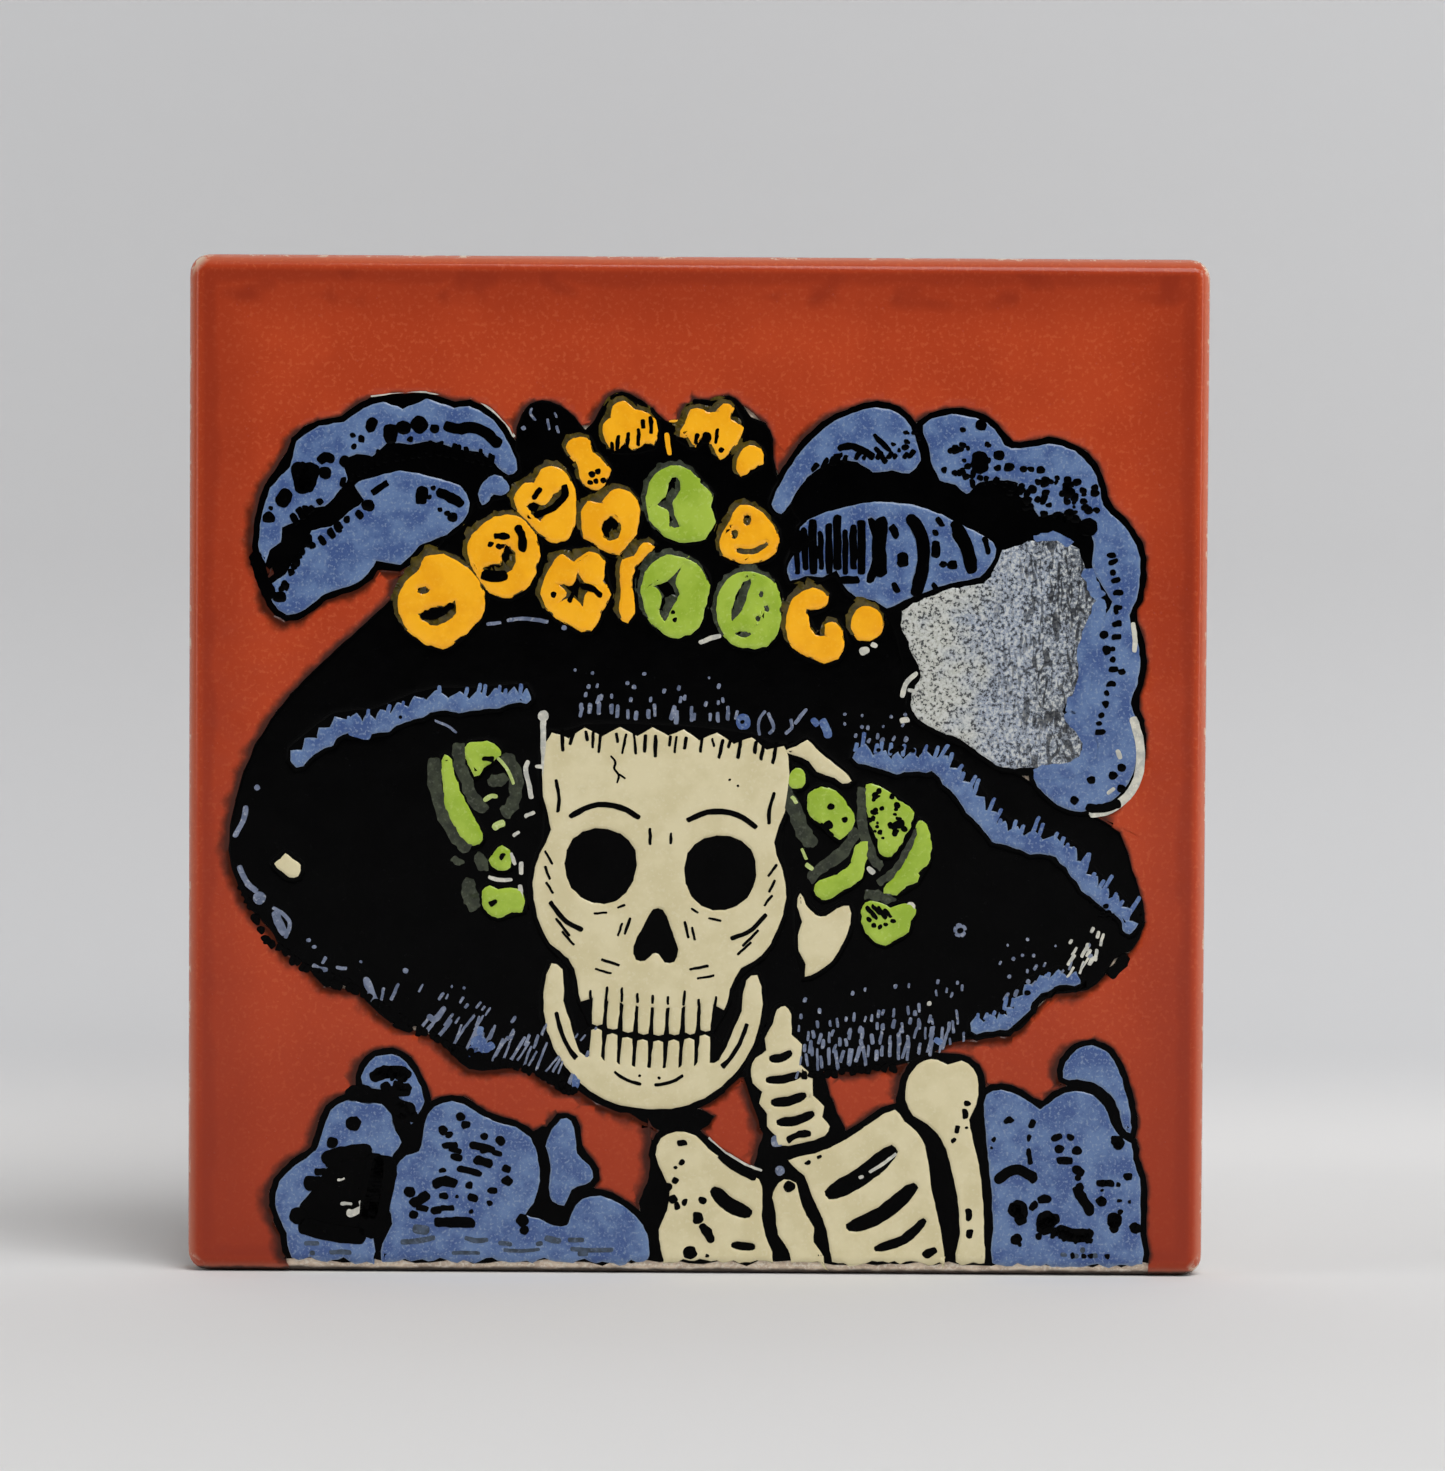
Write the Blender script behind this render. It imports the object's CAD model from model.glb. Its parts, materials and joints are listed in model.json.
import json
import math
import random

import bpy
from mathutils import Matrix, Vector, kdtree, noise


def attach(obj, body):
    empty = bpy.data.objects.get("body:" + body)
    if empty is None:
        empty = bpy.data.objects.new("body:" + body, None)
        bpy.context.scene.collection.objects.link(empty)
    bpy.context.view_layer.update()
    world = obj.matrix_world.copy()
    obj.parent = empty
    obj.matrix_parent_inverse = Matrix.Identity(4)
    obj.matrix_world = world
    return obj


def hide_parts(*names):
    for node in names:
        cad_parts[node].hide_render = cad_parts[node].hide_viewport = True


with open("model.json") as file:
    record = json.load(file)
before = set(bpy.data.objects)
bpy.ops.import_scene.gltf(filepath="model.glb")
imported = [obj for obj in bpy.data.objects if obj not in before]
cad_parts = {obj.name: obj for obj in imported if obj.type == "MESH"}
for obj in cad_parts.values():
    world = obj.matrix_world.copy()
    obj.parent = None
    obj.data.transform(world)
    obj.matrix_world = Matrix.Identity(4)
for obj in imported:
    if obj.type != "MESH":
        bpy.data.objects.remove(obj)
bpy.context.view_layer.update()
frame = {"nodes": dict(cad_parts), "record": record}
bpy.ops.object.select_all(action="DESELECT")

mm = 0.001
tile = {
    "half": 52.5 * mm,  # half the side
    "corner": 2.0 * mm,  # corner radius, seen from the front
    "shoulder": 1.5 * mm,  # reach of the rounded shoulder
    "fall": 2.1 * mm,  # how far the shoulder falls back at the outline
    "redY": -3.235 * mm,  # top of the red field
    "poolY": -3.215 * mm,  # top of the coloured pools
    "lineY": -3.120 * mm,  # top of the black line
    "hatY": -3.150 * mm,  # top of the hat's own black glaze
    "bandY": -3.165 * mm,  # top of the thin glaze that runs out over the black
    "seepY": -3.030 * mm,  # where that thin glaze goes under its pool
}
hair = 0.02 * mm  # what lies closer than this to a plane or a rim counts as on it
farFromRim = 9.0  # rim distance, in millimetres, of a piece without a coloured rim
slotOf = {part["node"]: part["material_slot"] for part in frame["record"]["subparts"]}


# how far a point of the face is from the tile's outline
def edgeInset(x, z):
    straight = tile["half"] - tile["corner"]
    qx = abs(x) - straight
    qz = abs(z - tile["half"]) - straight
    return tile["corner"] - math.hypot(max(qx, 0), max(qz, 0)) - min(max(qx, qz), 0)


def activate(piece):
    bpy.ops.object.select_all(action="DESELECT")
    piece.select_set(True)
    bpy.context.view_layer.objects.active = piece


# how far the face falls away towards the back at a distance in from the outline
def shoulderDrop(inset):
    share = min(1.0, max(0.0, inset / tile["shoulder"]))
    return tile["fall"] * (1 - math.sqrt(1 - (1 - share) ** 2))


# 1 at nothing, easing down to 0 at reach
def fade(value, reach):
    t = min(1.0, max(0.0, 1 - value / reach))
    return t * t * (3 - 2 * t)


# node groups, each built once
def newGroup(name, inputs, outputs):
    group = bpy.data.node_groups.new(name, "ShaderNodeTree")
    for label, kind, value in inputs:
        socket = group.interface.new_socket(label, in_out="INPUT", socket_type="NodeSocket" + kind)
        if value is not None:
            socket.default_value = value
    for label, kind in outputs:
        group.interface.new_socket(label, in_out="OUTPUT", socket_type="NodeSocket" + kind)
    return group, group.nodes.new("NodeGroupInput"), group.nodes.new("NodeGroupOutput")


def addNode(tree, kind, settings=None, **inputs):
    node = tree.nodes.new("ShaderNode" + kind)
    for key, value in (settings or {}).items():
        setattr(node, key, value)
    for key, value in inputs.items():
        socket = node.inputs[int(key[1:])] if key[0] == "i" and key[1:].isdigit() else node.inputs[key]
        if isinstance(value, bpy.types.NodeSocket):
            tree.links.new(value, socket)
        else:
            socket.default_value = value
    return node


def mathNode(tree, operation, a, b=None, c=None, clamp=False):
    inputs = {"i0": a}
    if b is not None:
        inputs["i1"] = b
    if c is not None:
        inputs["i2"] = c
    return addNode(tree, "Math", {"operation": operation, "use_clamp": clamp}, **inputs).outputs[0]


def times(tree, a, b):
    return mathNode(tree, "MULTIPLY", a, b)


def noiseFac(tree, place, scale, detail, **more):
    return addNode(tree, "TexNoise", Vector=place, Scale=scale, Detail=detail, **more).outputs["Fac"]


# a smooth step from low to high
def spread(tree, value, low, high, toLow=0.0, toHigh=1.0):
    node = addNode(tree, "MapRange", {"interpolation_type": "SMOOTHSTEP"},
                   i0=value, i1=low, i2=high, i3=toLow, i4=toHigh)
    return node.outputs[0]


def mixColors(tree, factor, a, b):
    return addNode(tree, "Mix", {"data_type": "RGBA"}, i0=factor, i6=a, i7=b).outputs[2]


# soft patches and small flecks in a glaze
def makeMottle():
    group, given, out = newGroup(
        "glazeMottle",
        [("Vector", "Vector", None), ("Patch scale", "Float", 400.0), ("Fleck scale", "Float", 2500.0),
         ("Fleck share", "Float", 0.3), ("Seed", "Float", 0.0)],
        [("Patch", "Float"), ("Fleck", "Float")])
    shift = addNode(group, "VectorMath", {"operation": "ADD"}, i0=given.outputs["Vector"])
    group.links.new(given.outputs["Seed"], shift.inputs[1])
    place = shift.outputs[0]
    patch = noiseFac(group, place, given.outputs["Patch scale"], 4.0, Roughness=0.6)
    fleck = noiseFac(group, place, given.outputs["Fleck scale"], 2.0, Roughness=0.55)
    top = mathNode(group, "SUBTRACT", 0.75, times(group, given.outputs["Fleck share"], 0.5))
    above = mathNode(group, "SUBTRACT", fleck, top)
    fleckMask = mathNode(group, "MULTIPLY", above, 9.0, clamp=True)
    group.links.new(spread(group, patch, 0.36, 0.64), out.inputs["Patch"])
    group.links.new(fleckMask, out.inputs["Fleck"])
    return group


# 1 at a pool's rim, falling to 0 at a distance that wanders
def makeRim():
    group, given, out = newGroup(
        "pooledRim",
        [("Vector", "Vector", None), ("Distance", "Float", 0.0), ("Width", "Float", 0.4),
         ("Wander", "Float", 0.5), ("Wander scale", "Float", 900.0)],
        [("Mask", "Float")])
    wander = noiseFac(group, given.outputs["Vector"], given.outputs["Wander scale"], 2.0)
    centred = times(group, mathNode(group, "SUBTRACT", wander, 0.5), 3.0)
    wanderShare = mathNode(group, "ADD", times(group, centred, given.outputs["Wander"]), 1.0)
    width = mathNode(group, "MAXIMUM", times(group, given.outputs["Width"], wanderShare), 0.02)
    share = mathNode(group, "DIVIDE", given.outputs["Distance"], width)
    group.links.new(spread(group, share, 0.25, 1.0, 1.0, 0.0), out.inputs["Mask"])
    return group


# the skin of a fired glaze: a soft ripple, with pinholes
def makeSkin():
    group, given, out = newGroup(
        "glazeSkin",
        [("Vector", "Vector", None), ("Ripple scale", "Float", 600.0), ("Pinholes", "Float", 0.5)],
        [("Height", "Float"), ("Pinhole", "Float")])
    place = given.outputs["Vector"]
    ripple = noiseFac(group, place, given.outputs["Ripple scale"], 1.5, Roughness=0.4)
    holes = addNode(group, "TexVoronoi", Vector=place, Scale=1100.0, Randomness=1.0)
    some = noiseFac(group, place, 350.0, 1.0)
    near = spread(group, holes.outputs["Distance"], 0.05, 0.17, 1.0, 0.0)
    chosen = spread(group, some, 0.52, 0.6)
    hole = times(group, times(group, near, chosen), given.outputs["Pinholes"])
    group.links.new(mathNode(group, "SUBTRACT", ripple, hole), out.inputs["Height"])
    group.links.new(hole, out.inputs["Pinhole"])
    return group


# in millimetres: distance in from the outline, height, and distance in from the corners
def makeEdge():
    group, given, out = newGroup(
        "tileEdge", [("Vector", "Vector", None)],
        [("Inset", "Float"), ("Up", "Float"), ("Corner", "Float")])
    parts = addNode(group, "SeparateXYZ", Vector=given.outputs["Vector"])
    acrossX = mathNode(group, "SUBTRACT", tile["half"], mathNode(group, "ABSOLUTE", parts.outputs[0]))
    fromMiddle = mathNode(group, "SUBTRACT", parts.outputs[2], tile["half"])
    acrossZ = mathNode(group, "SUBTRACT", tile["half"], mathNode(group, "ABSOLUTE", fromMiddle))
    inset = mathNode(group, "SMOOTH_MIN", acrossX, acrossZ, 1.0 * mm)
    both = mathNode(group, "ADD", acrossX, acrossZ)
    for label, metres in (("Inset", inset), ("Up", parts.outputs[2]), ("Corner", both)):
        group.links.new(times(group, metres, 1000.0), out.inputs[label])
    return group


mottleGroup = makeMottle()
rimGroup = makeRim()
skinGroup = makeSkin()
edgeGroup = makeEdge()


def newMaterial(name):
    material = bpy.data.materials.new(name)
    material.use_nodes = True
    tree = material.node_tree
    tree.nodes.clear()
    output = tree.nodes.new("ShaderNodeOutputMaterial")
    shader = tree.nodes.new("ShaderNodeBsdfPrincipled")
    tree.links.new(shader.outputs[0], output.inputs[0])
    place = tree.nodes.new("ShaderNodeTexCoord").outputs["Object"]
    return material, tree, shader, place


def addGroup(tree, group, place, **values):
    node = tree.nodes.new("ShaderNodeGroup")
    node.node_tree = group
    tree.links.new(place, node.inputs["Vector"])
    for key, value in values.items():
        socket = node.inputs[key.replace("_", " ")]
        if isinstance(value, bpy.types.NodeSocket):
            tree.links.new(value, socket)
        else:
            socket.default_value = value
    return node


def opaque(color):
    return (*color, 1.0)


def addSkin(tree, shader, place, ripple, pinholes, scale=600.0):
    skin = addGroup(tree, skinGroup, place, Ripple_scale=scale, Pinholes=pinholes)
    bump = addNode(tree, "Bump", Strength=ripple, Distance=0.1 * mm, Height=skin.outputs["Height"])
    tree.links.new(bump.outputs[0], shader.inputs["Normal"])
    return skin


# the lowest edge, stained where it stands
def stainFoot(tree, place, color, stain):
    up = addGroup(tree, edgeGroup, place).outputs["Up"]
    ragged = noiseFac(tree, place, 500.0, 2.0)
    level = mathNode(tree, "SUBTRACT", up, times(tree, ragged, 0.5))
    return mixColors(tree, spread(tree, level, 0.1, 0.45, 0.92, 0.0), color, opaque(stain))


# how far a point of the surface is from its pool's rim, in millimetres
def fromRim(tree):
    return addNode(tree, "Attribute", {"attribute_name": "rimDistance"}).outputs["Fac"]


# the color with a tint mixed in where the mask says, weakened by amount
def tinted(tree, color, mask, amount, tint):
    return mixColors(tree, times(tree, mask, amount), color, opaque(tint))


# a glaze with patches, flecks and a fringe where it runs over the black line
def glazeMaterial(name, look):
    material, tree, shader, place = newMaterial(name)
    mottle = addGroup(tree, mottleGroup, place, Patch_scale=look["patchScale"],
                      Fleck_scale=look["fleckScale"], Fleck_share=look["fleckShare"], Seed=look["seed"])
    color = mixColors(tree, mottle.outputs["Patch"], opaque(look["base"]), opaque(look["deep"]))
    color = tinted(tree, color, mottle.outputs["Fleck"], look["fleckAmount"], look["fleck"])
    rim = addGroup(tree, rimGroup, place, Distance=fromRim(tree), Width=look["fringeWidth"],
                   Wander=look["fringeWander"], Wander_scale=look["fringeScale"])
    color = tinted(tree, color, rim.outputs["Mask"], look["fringeAmount"], look["fringe"])
    if "foot" in look:
        color = stainFoot(tree, place, color, look["foot"])
    tree.links.new(color, shader.inputs["Base Color"])
    shader.inputs["Roughness"].default_value = look["roughness"]
    shader.inputs["Specular IOR Level"].default_value = look["gloss"]
    addSkin(tree, shader, place, ripple=look["ripple"], pinholes=look["pinholes"])
    return material


plainLook = {
    "patchScale": 260.0, "fleckScale": 2600.0, "fleckShare": 0.35, "fleckAmount": 0.6, "seed": 0.0,
    "fringeWidth": 0.3, "fringeWander": 0.6, "fringeScale": 1200.0, "fringeAmount": 0.9,
    "roughness": 0.12, "ripple": 0.12, "pinholes": 0.4, "gloss": 0.3,
}
blueLook = {
    "base": (0.122, 0.195, 0.365), "deep": (0.052, 0.095, 0.250), "fleck": (0.240, 0.310, 0.430),
    "patchScale": 330.0, "fleckScale": 3400.0, "fleckShare": 0.42,
    "fringe": (0.200, 0.265, 0.370), "fringeAmount": 0.65, "seed": 1.0,
}
orangeLook = {
    "base": (0.960, 0.450, 0.014), "deep": (0.880, 0.375, 0.008), "fleck": (0.990, 0.560, 0.060),
    "fleckAmount": 0.22, "fringe": (0.420, 0.190, 0.010), "fringeWander": 0.45, "seed": 2.0,
}
greenLook = {
    "base": (0.370, 0.510, 0.062), "deep": (0.280, 0.415, 0.034), "fleck": (0.520, 0.630, 0.180),
    "fleckAmount": 0.3, "fringe": (0.450, 0.600, 0.170), "fringeWander": 0.45, "seed": 3.0,
}
creamLook = {
    "base": (0.690, 0.615, 0.390), "deep": (0.620, 0.545, 0.325), "fleck": (0.740, 0.680, 0.490),
    "fleckAmount": 0.3, "fringe": (0.140, 0.125, 0.080), "fringeWidth": 0.10, "fringeWander": 0.8,
    "fringeAmount": 0.7, "seed": 4.0,
}
blackLook = {
    "base": (0.0009, 0.0009, 0.0010), "deep": (0.0005, 0.0005, 0.0006),
    "fleck": (0.008, 0.008, 0.009), "fleckShare": 0.12, "fleckAmount": 0.5, "fringe": (0.002, 0.002, 0.002),
    "seed": 5.0, "roughness": 0.10, "ripple": 0.05, "gloss": 0.04,
}
groundLook = {
    "base": (0.860, 0.710, 0.550), "deep": (0.600, 0.470, 0.360), "fleck": (0.900, 0.820, 0.700),
    "patchScale": 700.0, "fleckShare": 0.5, "fleckAmount": 0.7, "fringe": (0.140, 0.125, 0.080),
    "fringeAmount": 0.0, "seed": 6.0, "foot": (0.030, 0.018, 0.014),
}
materials = {}
for name, look in (("blue", blueLook), ("orange", orangeLook), ("green", greenLook),
                   ("cream", creamLook), ("black", blackLook), ("ground", groundLook)):
    materials[name + "_glaze"] = glazeMaterial(name + "Glaze", {**plainLook, **look})


# fine salt and pepper, from pale grey at the left through blue grey to streaked dark grey at the right
def speckledMaterial():
    look = {
        "pale": (0.470, 0.475, 0.430), "middle": (0.290, 0.330, 0.400), "dark": (0.165, 0.185, 0.215),
        "salt": (0.600, 0.610, 0.590), "pepper": (0.030, 0.032, 0.038), "streak": (0.012, 0.013, 0.016),
        "left": 21.0 * mm, "right": 40.0 * mm, "speckScale": 3000.0, "cloudScale": 330.0,
    }
    material, tree, shader, place = newMaterial("speckledGlaze")
    cloud = noiseFac(tree, place, look["cloudScale"], 3.0)
    across = addNode(tree, "SeparateXYZ", Vector=place).outputs[0]
    even = addNode(tree, "MapRange", i0=across, i1=look["left"], i2=look["right"], i3=-0.15, i4=1.05)
    uneven = times(tree, mathNode(tree, "SUBTRACT", cloud, 0.5), 1.1)
    share = mathNode(tree, "ADD", even.outputs[0], uneven)
    color = mixColors(tree, spread(tree, share, 0.05, 0.5), opaque(look["pale"]), opaque(look["middle"]))
    color = mixColors(tree, spread(tree, share, 0.6, 1.0), color, opaque(look["dark"]))
    speck = noiseFac(tree, place, look["speckScale"], 2.0, Roughness=0.6)
    color = tinted(tree, color, spread(tree, speck, 0.52, 0.62), 0.75, look["salt"])
    color = tinted(tree, color, spread(tree, speck, 0.37, 0.47, 1.0, 0.0), 0.92, look["pepper"])
    wave = addNode(tree, "Mapping", Vector=place, Scale=(1500.0, 1500.0, 420.0))
    streaks = noiseFac(tree, wave.outputs[0], 1.0, 2.0, Distortion=1.4)
    streaked = times(tree, spread(tree, streaks, 0.52, 0.58), spread(tree, share, 0.2, 0.9))
    color = tinted(tree, color, streaked, 0.85, look["streak"])
    tree.links.new(color, shader.inputs["Base Color"])
    shader.inputs["Roughness"].default_value = 0.16
    addSkin(tree, shader, place, ripple=0.15, pinholes=0.2)
    return material


# red, darker where it pools inside the shoulder, thin and pale on the edge, brown where it covers the line
def redMaterial():
    look = {
        "base": (0.445, 0.055, 0.016), "deep": (0.365, 0.040, 0.012), "fleck": (0.560, 0.110, 0.040),
        "low": (0.300, 0.034, 0.011), "pooled": (0.235, 0.025, 0.010), "thin": (0.600, 0.210, 0.125),
        "bare": (0.680, 0.560, 0.420), "brown": (0.020, 0.007, 0.004), "gloss": 0.2,
    }
    material, tree, shader, place = newMaterial("redGlaze")
    mottle = addGroup(tree, mottleGroup, place, Patch_scale=90.0, Fleck_scale=2200.0, Fleck_share=0.42,
                      Seed=6.0)
    color = tinted(tree, opaque(look["base"]), mottle.outputs["Patch"], 0.55, look["deep"])
    color = tinted(tree, color, mottle.outputs["Fleck"], 0.4, look["fleck"])
    outline = addGroup(tree, edgeGroup, place)
    edge = outline.outputs["Inset"]
    low = spread(tree, outline.outputs["Up"], 2.0, 45.0, 0.65, 0.0)
    color = mixColors(tree, low, color, opaque(look["low"]))
    wander = noiseFac(tree, place, 140.0, 2.0)
    offset = mathNode(tree, "ADD", edge, times(tree, mathNode(tree, "SUBTRACT", wander, 0.5), 2.4))
    inside = spread(tree, edge, 0.9, 1.9)  # 0 on the shoulder
    narrow = times(tree, spread(tree, offset, 2.2, 4.2, 0.8, 0.0), inside)
    wide = times(tree, spread(tree, offset, 3.0, 9.0, 0.45, 0.0), inside)
    underTop = spread(tree, outline.outputs["Up"], 98.5, 101.0)
    smear = times(tree, spread(tree, wander, 0.42, 0.66), underTop)
    pooled = mathNode(tree, "MAXIMUM", mathNode(tree, "MAXIMUM", narrow, wide),
                      times(tree, smear, inside))
    color = tinted(tree, color, pooled, 0.85, look["pooled"])
    color = tinted(tree, color, spread(tree, edge, 0.05, 1.25, 1.0, 0.0), 0.6, look["thin"])
    chips = noiseFac(tree, place, 420.0, 4.0, Roughness=0.7)
    alongEdge = spread(tree, edge, 0.0, 0.4, 1.0, 0.0)
    atCorner = spread(tree, outline.outputs["Corner"], 1.2, 3.0, 1.0, 0.0)
    chip = mathNode(tree, "MAXIMUM", times(tree, spread(tree, chips, 0.54, 0.62), alongEdge),
                    times(tree, spread(tree, chips, 0.46, 0.54), atCorner))
    color = mixColors(tree, chip, color, opaque(look["bare"]))
    rim = addGroup(tree, rimGroup, place, Distance=fromRim(tree), Width=1.3, Wander=0.45,
                   Wander_scale=700.0)
    color = tinted(tree, color, rim.outputs["Mask"], 0.93, look["brown"])
    color = stainFoot(tree, place, color, look["brown"])
    tree.links.new(color, shader.inputs["Base Color"])
    shader.inputs["Specular IOR Level"].default_value = look["gloss"]
    skin = addSkin(tree, shader, place, ripple=0.22, pinholes=0.7, scale=520.0)
    rough = addNode(tree, "MapRange", i0=skin.outputs["Pinhole"], i1=0.0, i2=1.0, i3=0.14, i4=0.5).outputs[0]
    tree.links.new(rough, shader.inputs["Roughness"])
    return material


# fired clay: warm tan with dark grit and drag marks, and red glaze spilt back over its edges
def clayMaterial():
    look = {
        "base": (0.430, 0.205, 0.105), "pale": (0.560, 0.330, 0.200), "dark": (0.240, 0.105, 0.055),
        "glazeSpill": (0.150, 0.030, 0.015),
    }
    material, tree, shader, place = newMaterial("firedClay")
    mottle = addGroup(tree, mottleGroup, place, Patch_scale=120.0, Fleck_scale=1800.0, Fleck_share=0.3,
                      Seed=7.0)
    color = mixColors(tree, mottle.outputs["Patch"], opaque(look["base"]), opaque(look["pale"]))
    color = tinted(tree, color, mottle.outputs["Fleck"], 0.8, look["dark"])
    depth = addNode(tree, "SeparateXYZ", Vector=place).outputs[1]
    spill = noiseFac(tree, place, 220.0, 3.0)
    reach = addNode(tree, "MapRange", i0=spill, i1=0.35, i2=0.7, i3=-1.2 * mm, i4=0.9 * mm).outputs[0]
    spilt = spread(tree, mathNode(tree, "SUBTRACT", depth, reach), -0.15 * mm, 0.15 * mm, 1.0, 0.0)
    color = tinted(tree, color, spilt, 0.85, look["glazeSpill"])
    tree.links.new(color, shader.inputs["Base Color"])
    shader.inputs["Roughness"].default_value = 0.85
    grit = noiseFac(tree, place, 1500.0, 6.0, Roughness=0.7)
    drag = addNode(tree, "Mapping", Vector=place, Scale=(30.0, 1200.0, 1200.0))
    wire = noiseFac(tree, drag.outputs[0], 1.0, 3.0)
    height = mathNode(tree, "ADD", grit, times(tree, wire, 0.8))
    bump = addNode(tree, "Bump", Strength=0.5, Distance=0.15 * mm, Height=height)
    tree.links.new(bump.outputs[0], shader.inputs["Normal"])
    return material


# thin glazes for strokes and for what runs out over the black
thinLooks = {
    "greyHatch": {"base": (0.185, 0.215, 0.300), "deep": (0.095, 0.120, 0.190),
                  "fleck": (0.42, 0.44, 0.48), "patchScale": 700.0, "seed": 11.0},
    "whiteSliver": {"base": (0.610, 0.590, 0.500), "deep": (0.420, 0.420, 0.380),
                    "fleck": (0.72, 0.70, 0.62), "patchScale": 900.0, "seed": 12.0},
    "paleGreen": {"base": (0.460, 0.560, 0.190), "deep": (0.360, 0.450, 0.130),
                  "fleck": (0.62, 0.66, 0.36), "patchScale": 700.0, "seed": 13.0},
    "smoke": {"base": (0.030, 0.042, 0.058), "deep": (0.060, 0.085, 0.130),
              "fleck": (0.11, 0.14, 0.20), "patchScale": 900.0, "seed": 14.0},
    "olive": {"base": (0.078, 0.056, 0.008), "deep": (0.038, 0.029, 0.006),
              "fleck": (0.150, 0.105, 0.016), "fleckAmount": 0.4, "patchScale": 900.0, "seed": 15.0},
    "oliveGrey": {"base": (0.040, 0.048, 0.028), "deep": (0.020, 0.024, 0.015),
                  "fleck": (0.090, 0.100, 0.070), "fleckAmount": 0.5, "patchScale": 900.0, "seed": 16.0},
}
for name, look in thinLooks.items():
    materials[name] = glazeMaterial(name, {**plainLook, **look, "fringe": look["deep"]})
materials["speckled_glaze"] = speckledMaterial()
materials["red_glaze"] = redMaterial()
materials["clay"] = clayMaterial()
print("materials made")


# a piece that stands for one layer of the tile
def copyOf(nodeName):
    piece = bpy.data.objects.new("fired_" + nodeName, frame["nodes"][nodeName].data.copy())
    bpy.context.scene.collection.objects.link(piece)
    piece.data.materials.clear()
    activate(piece)
    bpy.ops.object.mode_set(mode="EDIT")
    bpy.ops.mesh.select_all(action="SELECT")
    bpy.ops.mesh.remove_doubles(threshold=0.002 * mm)
    bpy.ops.mesh.dissolve_limited(angle_limit=math.radians(0.4))
    bpy.ops.object.mode_set(mode="OBJECT")
    return piece


# leaves the piece in edit mode with its front faces selected
def selectFront(piece, frontY):
    activate(piece)
    bpy.ops.object.mode_set(mode="EDIT")
    bpy.ops.mesh.select_mode(type="FACE")
    bpy.ops.mesh.select_all(action="DESELECT")
    bpy.ops.object.mode_set(mode="OBJECT")
    for face in piece.data.polygons:
        face.select = face.normal.y < -0.99 and face.center.y < frontY + hair
    bpy.ops.object.mode_set(mode="EDIT")


# cuts the piece into a net of squares, so that its top can take a wave
def netOver(piece, pitch):
    activate(piece)
    bpy.ops.object.mode_set(mode="EDIT")
    for axis in (0, 2):
        low = min(vertex.co[axis] for vertex in piece.data.vertices)
        high = max(vertex.co[axis] for vertex in piece.data.vertices)
        cuts = int((high - low) / pitch)
        for cut in range(1, cuts + 1):
            place, normal = [0, 0, 0], [0, 0, 0]
            place[axis] = low + (high - low) * cut / (cuts + 1)
            normal[axis] = 1
            bpy.ops.mesh.select_all(action="SELECT")
            bpy.ops.mesh.bisect(plane_co=place, plane_no=normal, threshold=0.001 * mm)
    bpy.ops.object.mode_set(mode="OBJECT")


# points along the top of every upright wall, each with the way the wall faces
rimSearch = {"depth": 0.03 * mm, "fromOutline": 0.3 * mm, "step": 0.15 * mm}


def rimPoints(piece, frontY):
    mesh = piece.data
    found = []
    for face in mesh.polygons:
        if abs(face.normal.y) > 0.3:
            continue
        outward = Vector((face.normal.x, 0, face.normal.z)).normalized()
        for a, b in face.edge_keys:
            p, q = mesh.vertices[a].co, mesh.vertices[b].co
            atTop = max(p.y, q.y) <= frontY + rimSearch["depth"]
            if not atTop or edgeInset(p.x, p.z) < rimSearch["fromOutline"]:
                continue
            steps = max(1, int((p - q).length / rimSearch["step"]))
            for step in range(steps + 1):
                at = p.lerp(q, step / steps)
                found.append((Vector((at.x, 0, at.z)), outward))
    return found


def rimTree(rim):
    tree = kdtree.KDTree(max(1, len(rim)))
    for i, (at, _) in enumerate(rim):
        tree.insert(at, i)
    tree.balance()
    return tree


# keeps each vertex's distance from the rim for the materials
def noteRim(mesh, distances=None):
    attribute = mesh.attributes.new("rimDistance", "FLOAT", "POINT")
    attribute.data.foreach_set("value", distances or [farFromRim] * len(mesh.vertices))


# a piece that takes the place of its CAD node
def finishPiece(piece, nodeName):
    activate(piece)
    piece.data.materials.append(materials.get(nodeName) or materials[slotOf[nodeName]])
    bpy.ops.object.shade_smooth_by_angle(angle=math.radians(35))
    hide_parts(nodeName)
    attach(piece, "root")


# a piece that is laid over the others
def finishExtra(piece, look, angle):
    noteRim(piece.data)
    piece.data.materials.append(materials[look])
    bpy.ops.object.shade_smooth_by_angle(angle=math.radians(angle))
    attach(piece, "root")


# what stands at the foot of the face runs a little way down the shoulder, in ragged ends
footLook = {"from": 1.85 * mm, "to": 0.95 * mm, "least": -0.25 * mm, "most": 1.05 * mm, "hang": 1.0 * mm}


def sagToFoot(vertex, flat, seed, front):
    if not footLook["to"] < flat.z < footLook["from"] or abs(flat.x) > 0.95 * tile["half"]:
        return
    ragged = 0.5 + 0.5 * noise.noise(flat / footLook["hang"] + Vector((seed, seed, 0)))
    vertex.co.z -= footLook["least"] + (footLook["most"] - footLook["least"]) * ragged
    if front:
        vertex.co.y += shoulderDrop(edgeInset(vertex.co.x, vertex.co.z))


# a pool of glaze: it overruns its line a little, its rim wanders and rolls over, and its top is faintly wavy
poolShape = {
    "rings": (0.07 * mm, 0.11 * mm, 0.16 * mm),  # insets that give the rim its roll
    "bulge": 0.8 * mm,  # how far in from the rim the overrun is taken up
    "coarse": 1.1 * mm, "fine": 0.45 * mm,  # sizes of the rim's wander
    "swell": 4.5 * mm,  # size of the waves on top
}


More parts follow.
